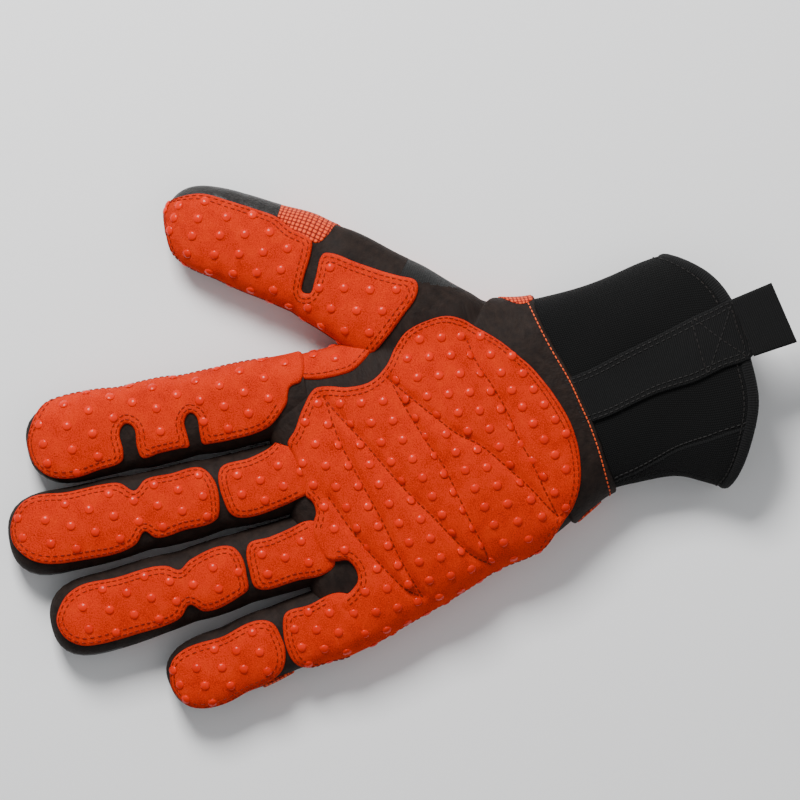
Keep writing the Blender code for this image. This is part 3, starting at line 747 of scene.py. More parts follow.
class Panel:
    """A closed piece of material sewn on: a rounded edge, a top lifted by lift, a sunk bottom."""

    def __init__(self, form, outline, thick, sink=0.0006, edge=0.0011, place=None, extra=None):
        self.form, self.thick, self.sink, self.edge = form, thick, sink, edge
        self.place = place or form.place
        self.extra = extra
        self.outline = curve_through(form.domain(outline), 0.0008)

    def lift(self, points):
        depth = distance_to(points, self.outline, closed=True)
        rounding = np.clip(depth / self.edge, 0, 1)
        height = -self.sink + (self.thick + self.sink) * np.sqrt(1 - (1 - rounding) ** 2)
        if self.extra is not None:
            height = height + self.extra(points) * rounding
        return height

    def on_top(self, points, above=0.0):
        return self.place(points[:, 0], points[:, 1], self.lift(points) + above)

    def build(self, name, owner, key, spacing=0.0009):
        low, high = self.outline.min(axis=0), self.outline.max(axis=0)
        xs = np.arange(low[0], high[0], spacing)
        ys = np.arange(low[1], high[1], spacing * 0.87)
        grid = np.array([(x + (j % 2) * spacing / 2, y) for j, y in enumerate(ys) for x in xs])
        grid = grid[inside(grid, self.outline)]
        grid = grid[distance_to(grid, self.outline, closed=True) > self.edge + spacing * 0.4]
        rings = [inset(self.outline, self.edge * part) for part in (0.12, 0.4, 0.9)]
        points = np.vstack([self.outline] + rings + [grid])
        n = len(self.outline)
        edges = [(i, (i + 1) % n) for i in range(n)]
        result = delaunay_2d_cdt([Vector(p) for p in points], edges, [], 1, 1e-7)
        flat = np.array([tuple(v) for v in result[0]])
        top_faces = [tuple(f) for f in result[2]]
        rim = distance_to(flat, self.outline, closed=True) < 1e-6
        top = self.on_top(flat)
        bottom = self.place(flat[:, 0], flat[:, 1], -self.sink)
        top[rim] = bottom[rim]
        lower = np.where(rim, np.arange(len(flat)), 0)
        lower[~rim] = len(flat) + np.arange((~rim).sum())
        verts = np.vstack([top, bottom[~rim]])
        faces = top_faces + [tuple(int(lower[v]) for v in reversed(f)) for f in top_faces]
        uv = np.vstack([flat, flat[~rim]])
        return emit(name, owner, key, verts, faces, uv, uv[:, 1])


def frame_at(place, points, tangents, above):
    """Centre, along, across and up of small things that lie on a surface."""
    step = 0.0003
    centre = place(points, above)
    ahead = place(points + tangents * step, above) - centre
    side = np.stack([-tangents[:, 1], tangents[:, 0]], axis=1)
    across = place(points + side * step, above) - centre
    ahead /= np.maximum(np.linalg.norm(ahead, axis=1)[:, None], 1e-12)
    up = np.cross(ahead, across)
    up /= np.maximum(np.linalg.norm(up, axis=1)[:, None], 1e-12)
    return centre, ahead, np.cross(up, ahead), up


def revolve(profile, around):
    """Rings round an axis: vertices (along, round, round) and faces, closed at both ends."""
    verts, faces = [], []
    for along, radius in profile[1:-1]:
        for k in range(around):
            turn = 2 * math.pi * k / around
            verts.append((along, radius * math.cos(turn), radius * math.sin(turn)))
    rings = len(profile) - 2
    for i in range(rings - 1):
        for k in range(around):
            a, b = i * around + k, i * around + (k + 1) % around
            faces.append((a, b, b + around, a + around))
    first, last = len(verts), len(verts) + 1
    verts += [(profile[0][0], 0, 0), (profile[-1][0], 0, 0)]
    for k in range(around):
        faces.append((first, (k + 1) % around, k))
        end = (rings - 1) * around
        faces.append((last, end + k, end + (k + 1) % around))
    return np.array(verts), faces


STITCH = revolve([(-1.0, 0), (-0.86, 0.6), (-0.5, 1.0), (0.5, 1.0), (0.86, 0.6), (1.0, 0)], 6)
DOT = revolve([(-0.35, 0), (-0.3, 1.0), (0.25, 0.95), (0.62, 0.72), (0.88, 0.42), (1.0, 0)], 12)


def scatter(name, owner, key, shape, centres, axes, sizes, along):
    """Copies of a small shape; axes are its three directions and sizes its scale along each."""
    shape_verts, shape_faces = shape
    verts, faces, uv, places = [], [], [], []
    for i in range(len(centres)):
        local = shape_verts * sizes[i]
        world = centres[i] + local[:, :1] * axes[0][i] + local[:, 1:2] * axes[1][i]
        world = world + local[:, 2:3] * axes[2][i]
        base = len(shape_verts) * i
        verts.append(world)
        faces += [tuple(base + v for v in f) for f in shape_faces]
        uv.append(local[:, :2] + centres[i][:2])
        places += [along[i]] * len(shape_verts)
    if verts:
        emit(name, owner, key, np.vstack(verts), faces, np.vstack(uv), places)


def stitch_rows(name, owner, key, place, lines, pitch=0.0021, length=0.00155, radius=0.00021,
                closed=False, above=0.00008):
    """Rows of single stitches along lines in the domain."""
    centres, axes, sizes, along = [], [[], [], []], [], []
    for line in lines:
        spots = resample(np.vstack([line, line[:1]]) if closed else line, pitch, closed)
        if len(spots) < 3:
            continue
        if closed:
            tangents = np.roll(spots, -1, axis=0) - np.roll(spots, 1, axis=0)
        else:
            tangents = np.gradient(spots, axis=0)
        tangents /= np.maximum(np.linalg.norm(tangents, axis=1)[:, None], 1e-12)
        centre, ahead, across, up = frame_at(place, spots, tangents, above)
        centres.append(centre)
        for store, values in zip(axes, (ahead, across, up)):
            store.append(values)
        half = length / 2
        sizes += [(half, radius, radius)] * len(spots)
        along += spots[:, 1].tolist()
    if centres:
        scatter(name, owner, key, STITCH, np.vstack(centres), [np.vstack(a) for a in axes],
                np.array(sizes), along)


def dots(name, owner, panel, corner, turn, pitch, margin=0.0021, radius=0.00165, height=0.00060,
         stagger=False):
    """Domes of silicone in rows on a panel: corner is a place in plan, turn in degrees."""
    low = panel.outline.min(axis=0) - 0.02
    high = panel.outline.max(axis=0) + 0.02
    start = panel.form.domain([corner])[0]
    c, s = math.cos(math.radians(turn)), math.sin(math.radians(turn))
    count = int(np.linalg.norm(high - low) / min(pitch)) + 2
    spots = []
    for j in range(-count, count):
        for i in range(-count, count):
            a = (i + (0.5 if stagger and j % 2 else 0)) * pitch[0]
            b = j * pitch[1]
            spots.append((start[0] + a * c - b * s, start[1] + a * s + b * c))
    spots = np.array(spots)
    spots = spots[inside(spots, panel.outline)]
    spots = spots[distance_to(spots, panel.outline, closed=True) > margin]
    if not len(spots):
        return
    forward = np.tile([[1.0, 0.0]], (len(spots), 1))
    centre, ahead, across, up = frame_at(panel.on_top, spots, forward, 0.0)
    sizes = np.tile([[height, radius, radius]], (len(spots), 1))
    scatter(name, owner, "dots", DOT, centre, [up, ahead, across], sizes, spots[:, 1].tolist())


def edge_stitches(name, owner, panel, depths=(0.0016, 0.0031), key="thread_rust", skip=None):
    """Rows of stitches that run inside a panel's edge, except where skip says so."""
    for number, depth in enumerate(depths):
        line = inset(panel.outline, depth)
        if len(line) < 8:
            continue
        smooth = resample(np.vstack([line, line[:1]]), 0.0008, closed=True)
        runs, closed = [smooth], True
        if skip is not None:
            keep = np.array([not skip(p) for p in smooth])
            if not keep.all():
                first = int(np.nonzero(~keep)[0][0])
                smooth, keep = np.roll(smooth, -first, axis=0), np.roll(keep, -first)
                ends = np.nonzero(np.diff(keep.astype(int)))[0] + 1
                runs = [run for run, kept in zip(np.split(smooth, ends), np.split(keep, ends))
                        if kept[0] and len(run) > 4]
                closed = False
        stitch_rows(f"{name}_{number + 1}", owner, key, panel.on_top, runs, closed=closed)


# ---- The hand's core -------------------------------------------------------------------------


def closed_tube(points, rings, around):
    """A closed mesh object from rings of points."""
    faces = ring_faces(rings, around)
    faces.append(tuple(reversed(range(around))))
    faces.append(tuple(range((rings - 1) * around, rings * around)))
    mesh = bpy.data.meshes.new("core_part")
    mesh.from_pydata(points.tolist(), [], faces)
    mesh.update()
    return mesh


CORE_ENDS = (-0.066, 0.036)      # y where the hand's skin starts and where it rounds off
CORE_CUT = -0.0640               # y below which the cuff takes over
BACK_SEAM_Z = 0.0080             # height of the seam between leather and the woven back
SKIN_VOXEL = 0.0012


def make_core():
    """The hand without fingers, united with the root of the thumb, as one smooth skin."""
    around = 96
    angles = np.linspace(0, 360, around, endpoint=False)
    arcs = trunk.arc_at(angles)
    rings = []
    for s in np.linspace(*CORE_ENDS, 60):
        rings.append(trunk.surface(arcs, np.full(around, s)))
    for turn in (25, 45, 62, 76, 86):
        forward, shrink = math.sin(math.radians(turn)), math.cos(math.radians(turn))
        ring = trunk.surface(arcs, np.full(around, CORE_ENDS[1]))
        middle_z = 0.0100
        ring[:, 1] += 0.0065 * forward
        ring[:, 2] = middle_z + (ring[:, 2] - middle_z) * (0.12 + 0.88 * shrink)
        rings.append(ring)
    hand = closed_tube(np.vstack(rings), len(rings), around)

    thumb = fingers["thumb"]
    rings = []
    arcs = thumb.arc_at(angles)
    for part in (86, 68, 48, 28, 12):
        grow = math.cos(math.radians(part))
        ring = thumb.surface(arcs, np.full(around, -0.030 - 0.012 * math.sin(math.radians(part))))
        middle = ring.mean(axis=0)
        rings.append(middle + (ring - middle) * grow)
    for s in np.linspace(-0.030, 0.004, 18):
        rings.append(thumb.surface(arcs, np.full(around, s)))
    root = closed_tube(np.vstack(rings), len(rings), around)

    bm = bmesh.new()
    bm.from_mesh(hand)
    bm.from_mesh(root)
    mesh = bpy.data.meshes.new("core")
    bm.to_mesh(mesh)
    bm.free()
    obj = bpy.data.objects.new("core_work", mesh)
    bpy.context.scene.collection.objects.link(obj)
    remesh = obj.modifiers.new("skin", "REMESH")
    remesh.mode = "VOXEL"
    remesh.voxel_size = SKIN_VOXEL
    smooth = obj.modifiers.new("soft", "SMOOTH")
    smooth.factor, smooth.iterations = 0.5, 14
    graph = bpy.context.evaluated_depsgraph_get()
    skin = bpy.data.meshes.new_from_object(obj.evaluated_get(graph))
    bpy.data.objects.remove(obj)

    bm = bmesh.new()
    bm.from_mesh(skin)
    whole = bm.verts[:] + bm.edges[:] + bm.faces[:]
    bmesh.ops.bisect_plane(bm, geom=whole, plane_co=(0, 0, BACK_SEAM_Z), plane_no=(0, 0, 1))
    end = [f for f in bm.faces if f.calc_center_median().y < CORE_CUT]
    bmesh.ops.delete(bm, geom=end, context="FACES")
    bm.verts.ensure_lookup_table()
    verts = wave_warp(np.array([v.co[:] for v in bm.verts]))
    for index, vert in enumerate(bm.verts):
        vert.co = verts[index]
        vert.index = index
    faces = [tuple(v.index for v in f.verts) for f in bm.faces]
    bm.free()
    return verts, faces


core_verts, core_faces = make_core()
core_tree = BVHTree.FromPolygons(core_verts.tolist(), core_faces)


def on_core(a, s, height=0.0):
    """Points lifted off the core: straight above on the thumb half, along the normal elsewhere."""
    a, s = np.atleast_1d(np.asarray(a, float)), np.atleast_1d(np.asarray(s, float))
    height = np.broadcast_to(height, a.shape)
    base, normals = trunk.surface(a, s), trunk.normals(a, s)
    found = np.empty_like(base)
    for i in range(len(base)):
        normal = Vector(normals[i])
        if a[i] > 0 and normal.z > 0.05:
            start, way = Vector((base[i][0], base[i][1], 0.06)), Vector((0, 0, -1))
        else:
            start, way = Vector(base[i]) + normal * 0.02, -normal
        hit, slope, _, _ = core_tree.ray_cast(start, way)
        if hit is None:
            hit, slope = Vector(base[i]), normal
        lift = (slope + normal).normalized() if slope.dot(normal) > 0.2 else slope
        found[i] = hit + lift * height[i]
    return found


def side_unrolled(points):
    """Flat coordinates on the core that don't stretch on its side walls."""
    lean = np.clip((points[:, 0] + 0.026) / 0.05, -1, 1) ** 3
    return np.stack([points[:, 0] - points[:, 2] * lean, points[:, 1]], axis=1)


HEEL = np.array(((66, 20), (57.1, 8), (47.2, -1.4), (37.2, -16.6), (35, -20.2), (29.5, -33.2),
                 (20.5, -44.7), (26, -52), (75, -30), (80, 10))) * MM

core_centres = np.array([core_verts[list(f)].mean(axis=0) for f in core_faces])
core_kinds = np.where(core_centres[:, 2] < BACK_SEAM_Z, 1, 0)
heel = inside(core_centres[:, :2], HEEL)
core_kinds[heel & (core_kinds == 0)] = 2
core_flat = side_unrolled(core_verts)
for number, (piece, key) in enumerate((("hand_leather", "leather"), ("hand_back", "weave"),
                                       ("thumb_heel", "fuzz"))):
    used, part = pick(core_faces, core_kinds == number)
    emit(piece, "hand", key, core_verts[used], part, core_flat[used], core_verts[used][:, 1])


# ---- Fingers and thumb: the base under the panels ------------------------------------------------


def finger_base(name, back=(212.0, 328.0), start=-0.008):
    """The tube of a finger: black leather with a woven back and a ribbed knuckle."""
    form = fingers[name]
    around, rings = 64, 84
    angles = np.linspace(-UP, 3 * UP, around, endpoint=False)
    arcs = form.arc_at(angles)
    straight = np.linspace(start, form.dome_start, rings - 12)
    dome = form.dome_start + form.dome_arc * np.sin(np.linspace(0.06, 1.0, 12) * math.pi / 2) * 0.999
    stations = np.concatenate([straight, dome])
    verts = np.vstack([form.place(arcs, np.full(around, s)) for s in stations])
    verts = np.vstack([verts, verts[-around:].mean(axis=0)])
    flat = np.where(angles > 190, arcs + 2 * form.arcs[-1], arcs)
    uv = [np.stack([flat, np.full(around, s)], axis=1) for s in stations]
    uv = np.vstack(uv + [[[0, form.length]]])
    faces, kinds = ring_faces(rings, around), []
    for i in range(rings - 1):
        for k in range(around):
            angle = (angles[k] + UP / around * 2) % 360
            s = (stations[i] + stations[i + 1]) / 2
            kind = 0
            if back[0] < angle < back[1] and s < form.dome_start - 0.004:
                kind = 2 if name != "thumb" and abs(s - form.creases[0]) < 0.006 else 1
            if s >= form.dome_start - 0.004 and 160 < angle:
                kind = 3
            kinds.append(kind)
    last = len(verts) - 1
    faces += [((rings - 1) * around + k, (rings - 1) * around + (k + 1) % around, last)
              for k in range(around)]
    kinds += [3] * around
    for number, (key, label) in enumerate((("leather", "side"), ("weave", "back"),
                                           ("fuzz", "knuckle"), ("cap", "end"))):
        used, part = pick(faces, np.array(kinds) == number)
        if part:
            emit(f"{name}_{label}", name, key, verts[used], part, uv[used], uv[used][:, 1])


def back_stitches(name, angles, starts):
    """Rows of stitches that hold the woven back along both sides."""
    form = fingers[name]
    end = form.dome_start - 0.006
    lines = []
    for angle in angles:
        arc = float(form.arc_at(angle))
        lines.append(np.array([(arc, s) for s in np.arange(starts, end, 0.001)]))
    stitch_rows(f"{name}_back_stitches", name, "thread_black",
                form.at, lines, above=0.0001)


for finger in FINGER_NAMES:
    finger_base(finger)
    back_stitches(finger, (215.0, -35.0), 0.004)
finger_base("thumb", back=(200.0, 330.0), start=-0.005)
back_stitches("thumb", (204.0, -34.0), 0.002)


# ---- Suede panels ----------------------------------------------------------------------------------

PALM = ((21.3, -20.5), (19.5, -11.5), (15.6, -6.6), (10.7, -2.5), (6.8, 3.9), (6.8, 12), (9.1, 19.4),
        (9.3, 23.2), (3.9, 28.9), (-2.6, 33.5), (-6.4, 37.0), (-9, 36.4), (-15, 35.4), (-22.5, 35.0),
        (-25.5, 35.6), (-27.4, 34.1), (-31.4, 33.8), (-34.4, 35.5), (-37.5, 36.4), (-44, 35.6),
        (-48.0, 34.0), (-49.2, 31.5), (-49.9, 27.7), (-53.2, 25.9), (-57.1, 25.9), (-60.1, 29.1),
        (-61.8, 33.0), (-69, 34.5), (-77.5, 33.0, -1.08), (-76, 22, -1.09), (-73, 10, -1.09),
        (-69.8, -3.4, -1.09), (-66, -17.8, -1.08), (-63.6, -34, -1.02), (-60.5, -42.8, -0.965),
        (-56.1, -46.5, -0.93), (-51.6, -50.9), (-44.1, -55.7), (-35.9, -57.9), (-30.7, -58.3),
        (-23.5, -57.7), (-14, -55), (-8.8, -52.9), (-1.9, -49.4), (1.6, -46.9), (6.9, -43),
        (10, -40.3), (16, -34.2), (18.6, -31.6), (21.2, -26.0))

QUILTING = (
    ((11.2, -30.8), (3.1, -32.1), (-5, -34.9), (-15.7, -37.7), (-25.6, -39.2), (-34.6, -41.4),
     (-43.4, -42.9), (-53.1, -44.9)),
    ((-53.1, -44.9), (-50.5, -43.1), (-42.7, -38.9), (-31.2, -31.4), (-23.8, -26), (-17.7, -19.2),
     (-12, -14.7), (-3.6, -8.5), (5.1, -2.4)),
    ((5.1, -2.4), (-1.3, -3.8), (-8.5, -5.8), (-18.1, -8.8), (-27.1, -12.1), (-38.6, -14.3),
     (-48.6, -16.2), (-58, -18.2), (-63, -18.6)),
    ((-63, -18.6), (-58.4, -13.2), (-50.4, -8.3), (-43, -4.3), (-35.8, 0.1), (-25.6, 5.5),
     (-13, 11.6), (2.1, 19.5), (5.3, 20.8)),
    ((5.3, 20.8), (-10.9, 19.5), (-20.2, 17.4), (-28.5, 15.4), (-39.5, 12.7), (-52.8, 10.3),
     (-63.7, 7.6), (-67.9, 6.3)),
    ((-67.9, 6.3), (-65.1, 10.4), (-58.7, 14.4), (-49.7, 19.3), (-39.7, 23.7), (-28, 27.9)),
)
quilt_lines = [curve_through(trunk.domain(line), 0.0012, closed=False) for line in QUILTING]


QUILT_PUFF, QUILT_SLOPE, QUILT_GROOVE = 0.0011, 0.0042, 0.0010


def quilted(points):
    """Padding between the quilting lines, pulled down along them."""
    depth = np.full(len(points), 1.0)
    for line in quilt_lines:
        depth = np.minimum(depth, distance_to(points, line))
    puff = QUILT_PUFF * (1 - np.exp(-(depth / QUILT_SLOPE) ** 1.5))
    return puff - QUILT_PUFF * np.exp(-(depth / QUILT_GROOVE) ** 2)


palm = Panel(trunk, PALM, 0.0014, place=on_core, extra=quilted)
for piece in palm.build("palm_suede", "hand", "suede", 0.0010):
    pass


def at_finger_roots(point):
    """Where the palm runs on into the fingers, without a sewn edge."""
    x, y = trunk.surface(point[:1], point[1:])[0][:2]
    return y > 0.0298 and (-0.0245 < x < -0.0075 or -0.0478 < x < -0.0365 or x < -0.0625)


edge_stitches("palm_edge", "hand", palm, skip=at_finger_roots)
stitch_rows("palm_quilting", "hand", "thread_rust", palm.on_top, quilt_lines, pitch=0.0023,
            length=0.0017, radius=0.00028, above=0.00018)
dots("palm_dots", "hand", palm, (-4.5, -20.0), 12.0, (0.0072, 0.0066), stagger=True)

FINGER_PANELS = {
    "index_pad": ("index", (
        (12.7, 27.0), (11.9, 31.1), (6.3, 33.9), (4.7, 35.7), (0.6, 41.2), (-0.2, 46), (0.0, 54),
        (0.4, 62), (0.8, 64.6), (4, 64.8), (10.3, 64.6), (12.1, 66.4), (10.3, 68.4), (4, 68.8),
        (1.2, 69.4), (1.6, 73), (2.0, 80), (2.0, 86.2), (5, 86.8), (12, 86.1), (14.0, 88.4),
        (12.2, 90.8), (5, 91.8), (2.6, 93.0), (1.8, 102), (1.8, 111.2), (4.9, 118.6), (9.8, 121.6),
        (16.5, 121.8), (23.5, 118.0), (27.0, 111, 1.04), (28.5, 104, 1.10), (28.4, 92, 1.11),
        (27.5, 78, 1.11), (26.4, 62, 1.11), (25, 46, 1.11), (23.5, 34, 1.11), (22.5, 26, 1.08))),
    "middle_pad": ("middle", (
        (-9.9, 135.2), (-5.0, 131.8), (-2.4, 127.0), (-3.0, 114), (-3.8, 101.7), (-4.9, 95.5),
        (-8.2, 91.4), (-5.6, 87.4), (-6.0, 78), (-6.9, 67.5), (-10.7, 64.6), (-19.7, 64.4),
        (-24.9, 66.6), (-25.6, 78), (-25.6, 88.8), (-22.8, 91.6), (-25.9, 95.6), (-26.5, 112.4),
        (-24.8, 125.3), (-20.5, 132.5), (-15.2, 135.6))),
    "middle_root_pad": ("middle", (
        (-7.9, 60.6), (-10.4, 62.6), (-20, 63.0), (-25.2, 61.4), (-26.8, 58.4), (-26.4, 44.5),
        (-25.6, 39.5), (-24.0, 33.4), (-15, 31.0), (-6.0, 30.6, 0.99), (-5.2, 35.0, 1.0), (-6.6, 42.6),
        (-7.8, 50))),
    "ring_pad": ("ring", (
        (-44, 128.2), (-38.2, 124.5), (-34.8, 117.3), (-35.2, 104.1), (-35.6, 87.2), (-37.9, 83.2),
        (-35.7, 79.4), (-35.3, 64.4), (-39.0, 62.2), (-46, 61.9), (-50.8, 62.6), (-52.3, 66.1),
        (-54.0, 79.2), (-51.0, 83.0), (-54.2, 87.2), (-55.3, 103.2), (-55.6, 116.3), (-54, 122.6),
        (-49.5, 127.2))),
    "ring_root_pad": ("ring", (
        (-35.5, 58.6), (-38, 60.5), (-45, 60.8), (-50.8, 60.2), (-52.4, 57.5), (-51.9, 46),
        (-51.7, 36.4), (-50.0, 32.0), (-42, 30.6), (-35.5, 31.6), (-34.0, 36.6), (-34.6, 43),
        (-35.3, 51))),
    "little_pad": ("little", (
        (-68.4, 94.2), (-65.6, 90.6), (-63.9, 76.6), (-62.3, 61.0), (-64, 57.6), (-68.5, 56.2),
        (-74.5, 55.9), (-79.5, 58.0), (-82, 62.4), (-83.8, 72.2), (-85.8, 86.3), (-82.5, 93.4),
        (-76, 96.4))),
    "little_root_pad": ("little", (
        (-61.8, 52.6), (-66.4, 54.9), (-76.0, 55.0), (-79.8, 53.0), (-80.2, 46, -1.02),
        (-79.2, 38, -1.06), (-78.0, 29, -1.06), (-70, 29.4), (-62.0, 29.0), (-59.9, 33.5),
        (-61.2, 44))),
}



def over_the_hand(points):
    """A pad's rise near the finger's root, where it lies over the end of the hand."""
    return 0.0011 * smoothstep((0.0115 - points[:, 1]) / 0.0080)


panels = {}
for name, (finger, outline) in FINGER_PANELS.items():
    form = fingers[finger]
    panels[name] = Panel(form, outline, 0.0013, extra=over_the_hand if "root" in name else None)
    panels[name].build(name, finger, "suede")
    skip = None
    if "root" in name:
        skip = lambda point: point[1] < 0.0035
    if name == "index_pad":
        skip = lambda point: point[1] < 0.0030 and point[0] > -0.006
    edge_stitches(f"{name}_edge", finger, panels[name], skip=skip)

FINGER_DOTS = {
    "index_pad": ((14.0, 100.0), 0, (0.0074, 0.0076)),
    "middle_pad": ((-15.0, 100.0), 0, (0.0072, 0.0076)),
    "middle_root_pad": ((-16.0, 49.0), 0, (0.0072, 0.0072)),
    "ring_pad": ((-45.0, 95.0), 0, (0.0072, 0.0076)),
    "ring_root_pad": ((-43.5, 48.0), 0, (0.0072, 0.0072)),
    "little_pad": ((-74.0, 78.0), 0, (0.0066, 0.0070)),
    "little_root_pad": ((-70.0, 44.0), 0, (0.0066, 0.0066)),
}
for name, (corner, turn, pitch) in FINGER_DOTS.items():
    dots(f"{name}_dots", FINGER_PANELS[name][0], panels[name], corner, turn, pitch, stagger=True)

THUMB_PAD = ((81.6, 55.4), (83.6, 49.8), (82.8, 42.4), (78.4, 35), (73.5, 27.5), (68.9, 20.6),
             (63.4, 16.6), (57.6, 10.9), (55.0, 11.7), (46.0, 17.4), (42.4, 18.6), (41.3, 16.2),
             (44.6, 13.9), (53.0, 8.4), (52.6, 6.4), (47.2, -1.0), (43.3, -7), (38.8, -14.4),
             (36.0, -18.8), (33.8, -19.4), (29.5, -17.2), (26, -13.4), (20.6, -6.6, -0.45),
             (19.5, 2, -1.0), (24, 12, -1.10), (31, 20.5, -1.12), (40.5, 32, -1.12),
             (50, 45, -1.12), (57, 51, -1.12), (63, 57, -1.10), (68, 61, -0.85), (75, 62.5, -0.1),
             (79, 59.5, 0.4))
thumb_pad = Panel(fingers["thumb"], THUMB_PAD, 0.0013)
thumb_pad.build("thumb_pad", "thumb", "suede")
edge_stitches("thumb_pad_edge", "thumb", thumb_pad)
dots("thumb_dots", "thumb", thumb_pad, (60.0, 36.0), 0, (0.0074, 0.0076), stagger=True)

CROTCH = ((12.6, 33, 0.83), (13.5, 28, 0.85), (12.6, 22, 0.83), (11.6, 14.2, 0.82), (11.3, 9, 0.82),
          (13.3, 3.5, 0.87), (17.7, -2.6, 0.945), (20, -8, 1.0), (21, -8, 1.09), (21, 2, 1.11),
          (20.5, 14, 1.11), (20.5, 24, 1.11), (22, 33, 1.08), (20, 33.5, 0.98))
crotch = Panel(trunk, CROTCH, 0.0013, edge=0.0010)
crotch.build("crotch_suede", "hand", "suede")
edge_stitches("crotch_edge", "hand", crotch, depths=(0.0016,),
              skip=lambda point: point[1] > 0.0255 or point[1] < -0.004 or point[0] > 0.046)
dots("crotch_dots", "hand", crotch, (17.0, 14.0), 0, (0.0066, 0.0070), stagger=True)

THUMB_CAP = ((74, 62.5, -0.2), (78.5, 55.6, 0.45), (81, 49, 0.55), (80.5, 42.4, 0.55),
             (76.4, 35.5, 0.55), (68.0, 21.6, 0.55), (71.5, 18.5, 0.98), (76.5, 17.0, 1.35),
             (83, 27, 1.38), (88, 40, 1.38), (86, 54, 1.30), (80, 62.5, 0.9))
cap = Panel(fingers["thumb"], THUMB_CAP, 0.0006, sink=0.0004, edge=0.0007)
cap.build("thumb_cap", "thumb", "cap")

THUMB_WEAVE = ((70.5, 21.4), (66, 18.4), (60.4, 14.6), (56.6, 9.6), (57.4, 4.0, 1.04),
               (58.5, -1.0, 1.3), (66, 6, 1.42), (74, 15, 1.42), (75.5, 17.5, 1.15))
weave_side = Panel(fingers["thumb"], THUMB_WEAVE, 0.0005, sink=0.0004, edge=0.0006)
weave_side.build("thumb_weave", "thumb", "weave")

LITTLE_WEAVE = ((-80.6, 66, -0.97), (-79.6, 57, -0.97), (-79.4, 55, -1.18), (-80.8, 66.5, -1.18))
little_side = Panel(fingers["little"], LITTLE_WEAVE, 0.0007, sink=0.0004, edge=0.0006)
little_side.build("little_weave", "little", "weave")


# ---- Cuff, strap and tab -----------------------------------------------------------------------------


CUFF_START, CUFF_END, CUFF_BULGE, CUFF_WALL = -0.0570, -0.1035, 0.0174, 0.0016


def mouth(a):
    """Where the cuff ends: it bulges in the middle of each face, more squarely on the thumb's side."""
    across = section(trunk.angle_at(a))[0]
    square = np.where(across > 0, 4.6, 2.5)
    return CUFF_END - CUFF_BULGE * (1 - np.abs(across) ** square)


def cuff_shell():
    around, rings = 128, 40
    angles = np.linspace(-90, 270, around, endpoint=False)
    arcs = trunk.arc_at(angles)
    ends = mouth(arcs)
    verts, uv = [], []
    for side in (0, 1):
        order = np.linspace(0, 1, rings)
        for t in (order if side == 0 else order[::-1]):
            s = CUFF_START + (ends - CUFF_START) * t
            lift = 0.0002 - side * CUFF_WALL
            verts.append(trunk.place(arcs, s, lift))
            flat = np.where(angles > 190, arcs + 2 * trunk.arcs[-1], arcs)
            uv.append(np.stack([flat, s - side * 0.2], axis=1))
    total = len(verts)
    verts, uv = np.vstack(verts), np.vstack(uv)
    faces, kinds = [], []
    for i in range(total):
        j = (i + 1) % total
        for k in range(around):
            n = (k + 1) % around
            faces.append((i * around + n, i * around + k, j * around + k, j * around + n))
            s = uv[i * around + k][1]
            angle = angles[k] % 360
            inner = i >= rings - 1
            seam = 148 + (s + 0.070) * -230
            kinds.append(2 if inner else (1 if seam < angle < 232 else 0))
    along = np.where(uv[:, 1] < -0.13, uv[:, 1] + 0.2, uv[:, 1])
    for number, (label, key) in enumerate((("cuff_knit", "knit"), ("cuff_gusset", "gusset"),
                                           ("cuff_lining", "lining"))):
        used, part = pick(faces, np.array(kinds) == number)
        emit(label, "hand", key, verts[used], part, uv[used], along[used])


cuff_shell()


def sweep(name, owner, key, line, place, width, height, closed=True):
    """A flattened oval swept along a line of domain points."""
    profile = [(math.cos(t) * width, math.sin(t) * height)
               for t in np.linspace(0, 2 * math.pi, 12, endpoint=False)]
    tangents = (np.roll(line, -1, axis=0) - np.roll(line, 1, axis=0)) if closed else \
        np.gradient(line, axis=0)
    whole = 2 * trunk.arcs[-1]
    tangents[:, 0] -= np.round(tangents[:, 0] / whole) * whole
    tangents /= np.linalg.norm(tangents, axis=1)[:, None]
    centre, ahead, across, up = frame_at(lambda p, h: place(p[:, 0], p[:, 1], h), line, tangents, 0.0)
    around = len(profile)
    verts = np.vstack([centre[i] + across[i] * a + up[i] * b
                       for i in range(len(line)) for a, b in profile])
    uv = np.array([(k * 0.0008, i * 0.0008) for i in range(len(line)) for k in range(around)])
    along = np.repeat(line[:, 1], around)
    count = len(line)
    faces = []
    for i in range(count if closed else count - 1):
        j = (i + 1) % count
        for k in range(around):
            n = (k + 1) % around
            faces.append((i * around + k, i * around + n, j * around + n, j * around + k))
    if not closed:
        faces.append(tuple(range(around)))
        faces.append(tuple(range((count - 1) * around, count * around))[::-1])
    return emit(name, owner, key, verts, faces, uv, along)


rim_angles = np.linspace(-89, 271, 260, endpoint=False) - 0.3
rim_arcs = trunk.arc_at(rim_angles)
rim = np.stack([rim_arcs, mouth(rim_arcs) + 0.0010], axis=1)


def rim_place(a, s, height=0.0):
    return trunk.place(a, s, np.broadcast_to(height, np.shape(a)) - 0.0006)


sweep("cuff_binding", "hand", "webbing", rim, rim_place, 0.0021, 0.0014)

rim_row = np.stack([rim_arcs, mouth(rim_arcs) + 0.0040], axis=1)
rim_seam = rim_row[(rim_angles < 196) & (rim_angles > -88)]
stitch_rows("cuff_edge_stitches", "hand", "thread_black", trunk.at, [rim_seam], above=0.0003)

STRAP = ((-9.2, -62.5), (-6.0, -80), (-3.0, -96), (0.4, -112), (1.7, -121.0), (0.5, -122.2),
         (-8, -122.8), (-17.8, -123.2), (-18.9, -122.0), (-20.0, -112), (-21.8, -96), (-23.8, -80),
         (-25.8, -66.0), (-26.0, -60.0), (-25.0, -59.0), (-17, -57.6), (-10.0, -56.6), (-9.2, -57.6))


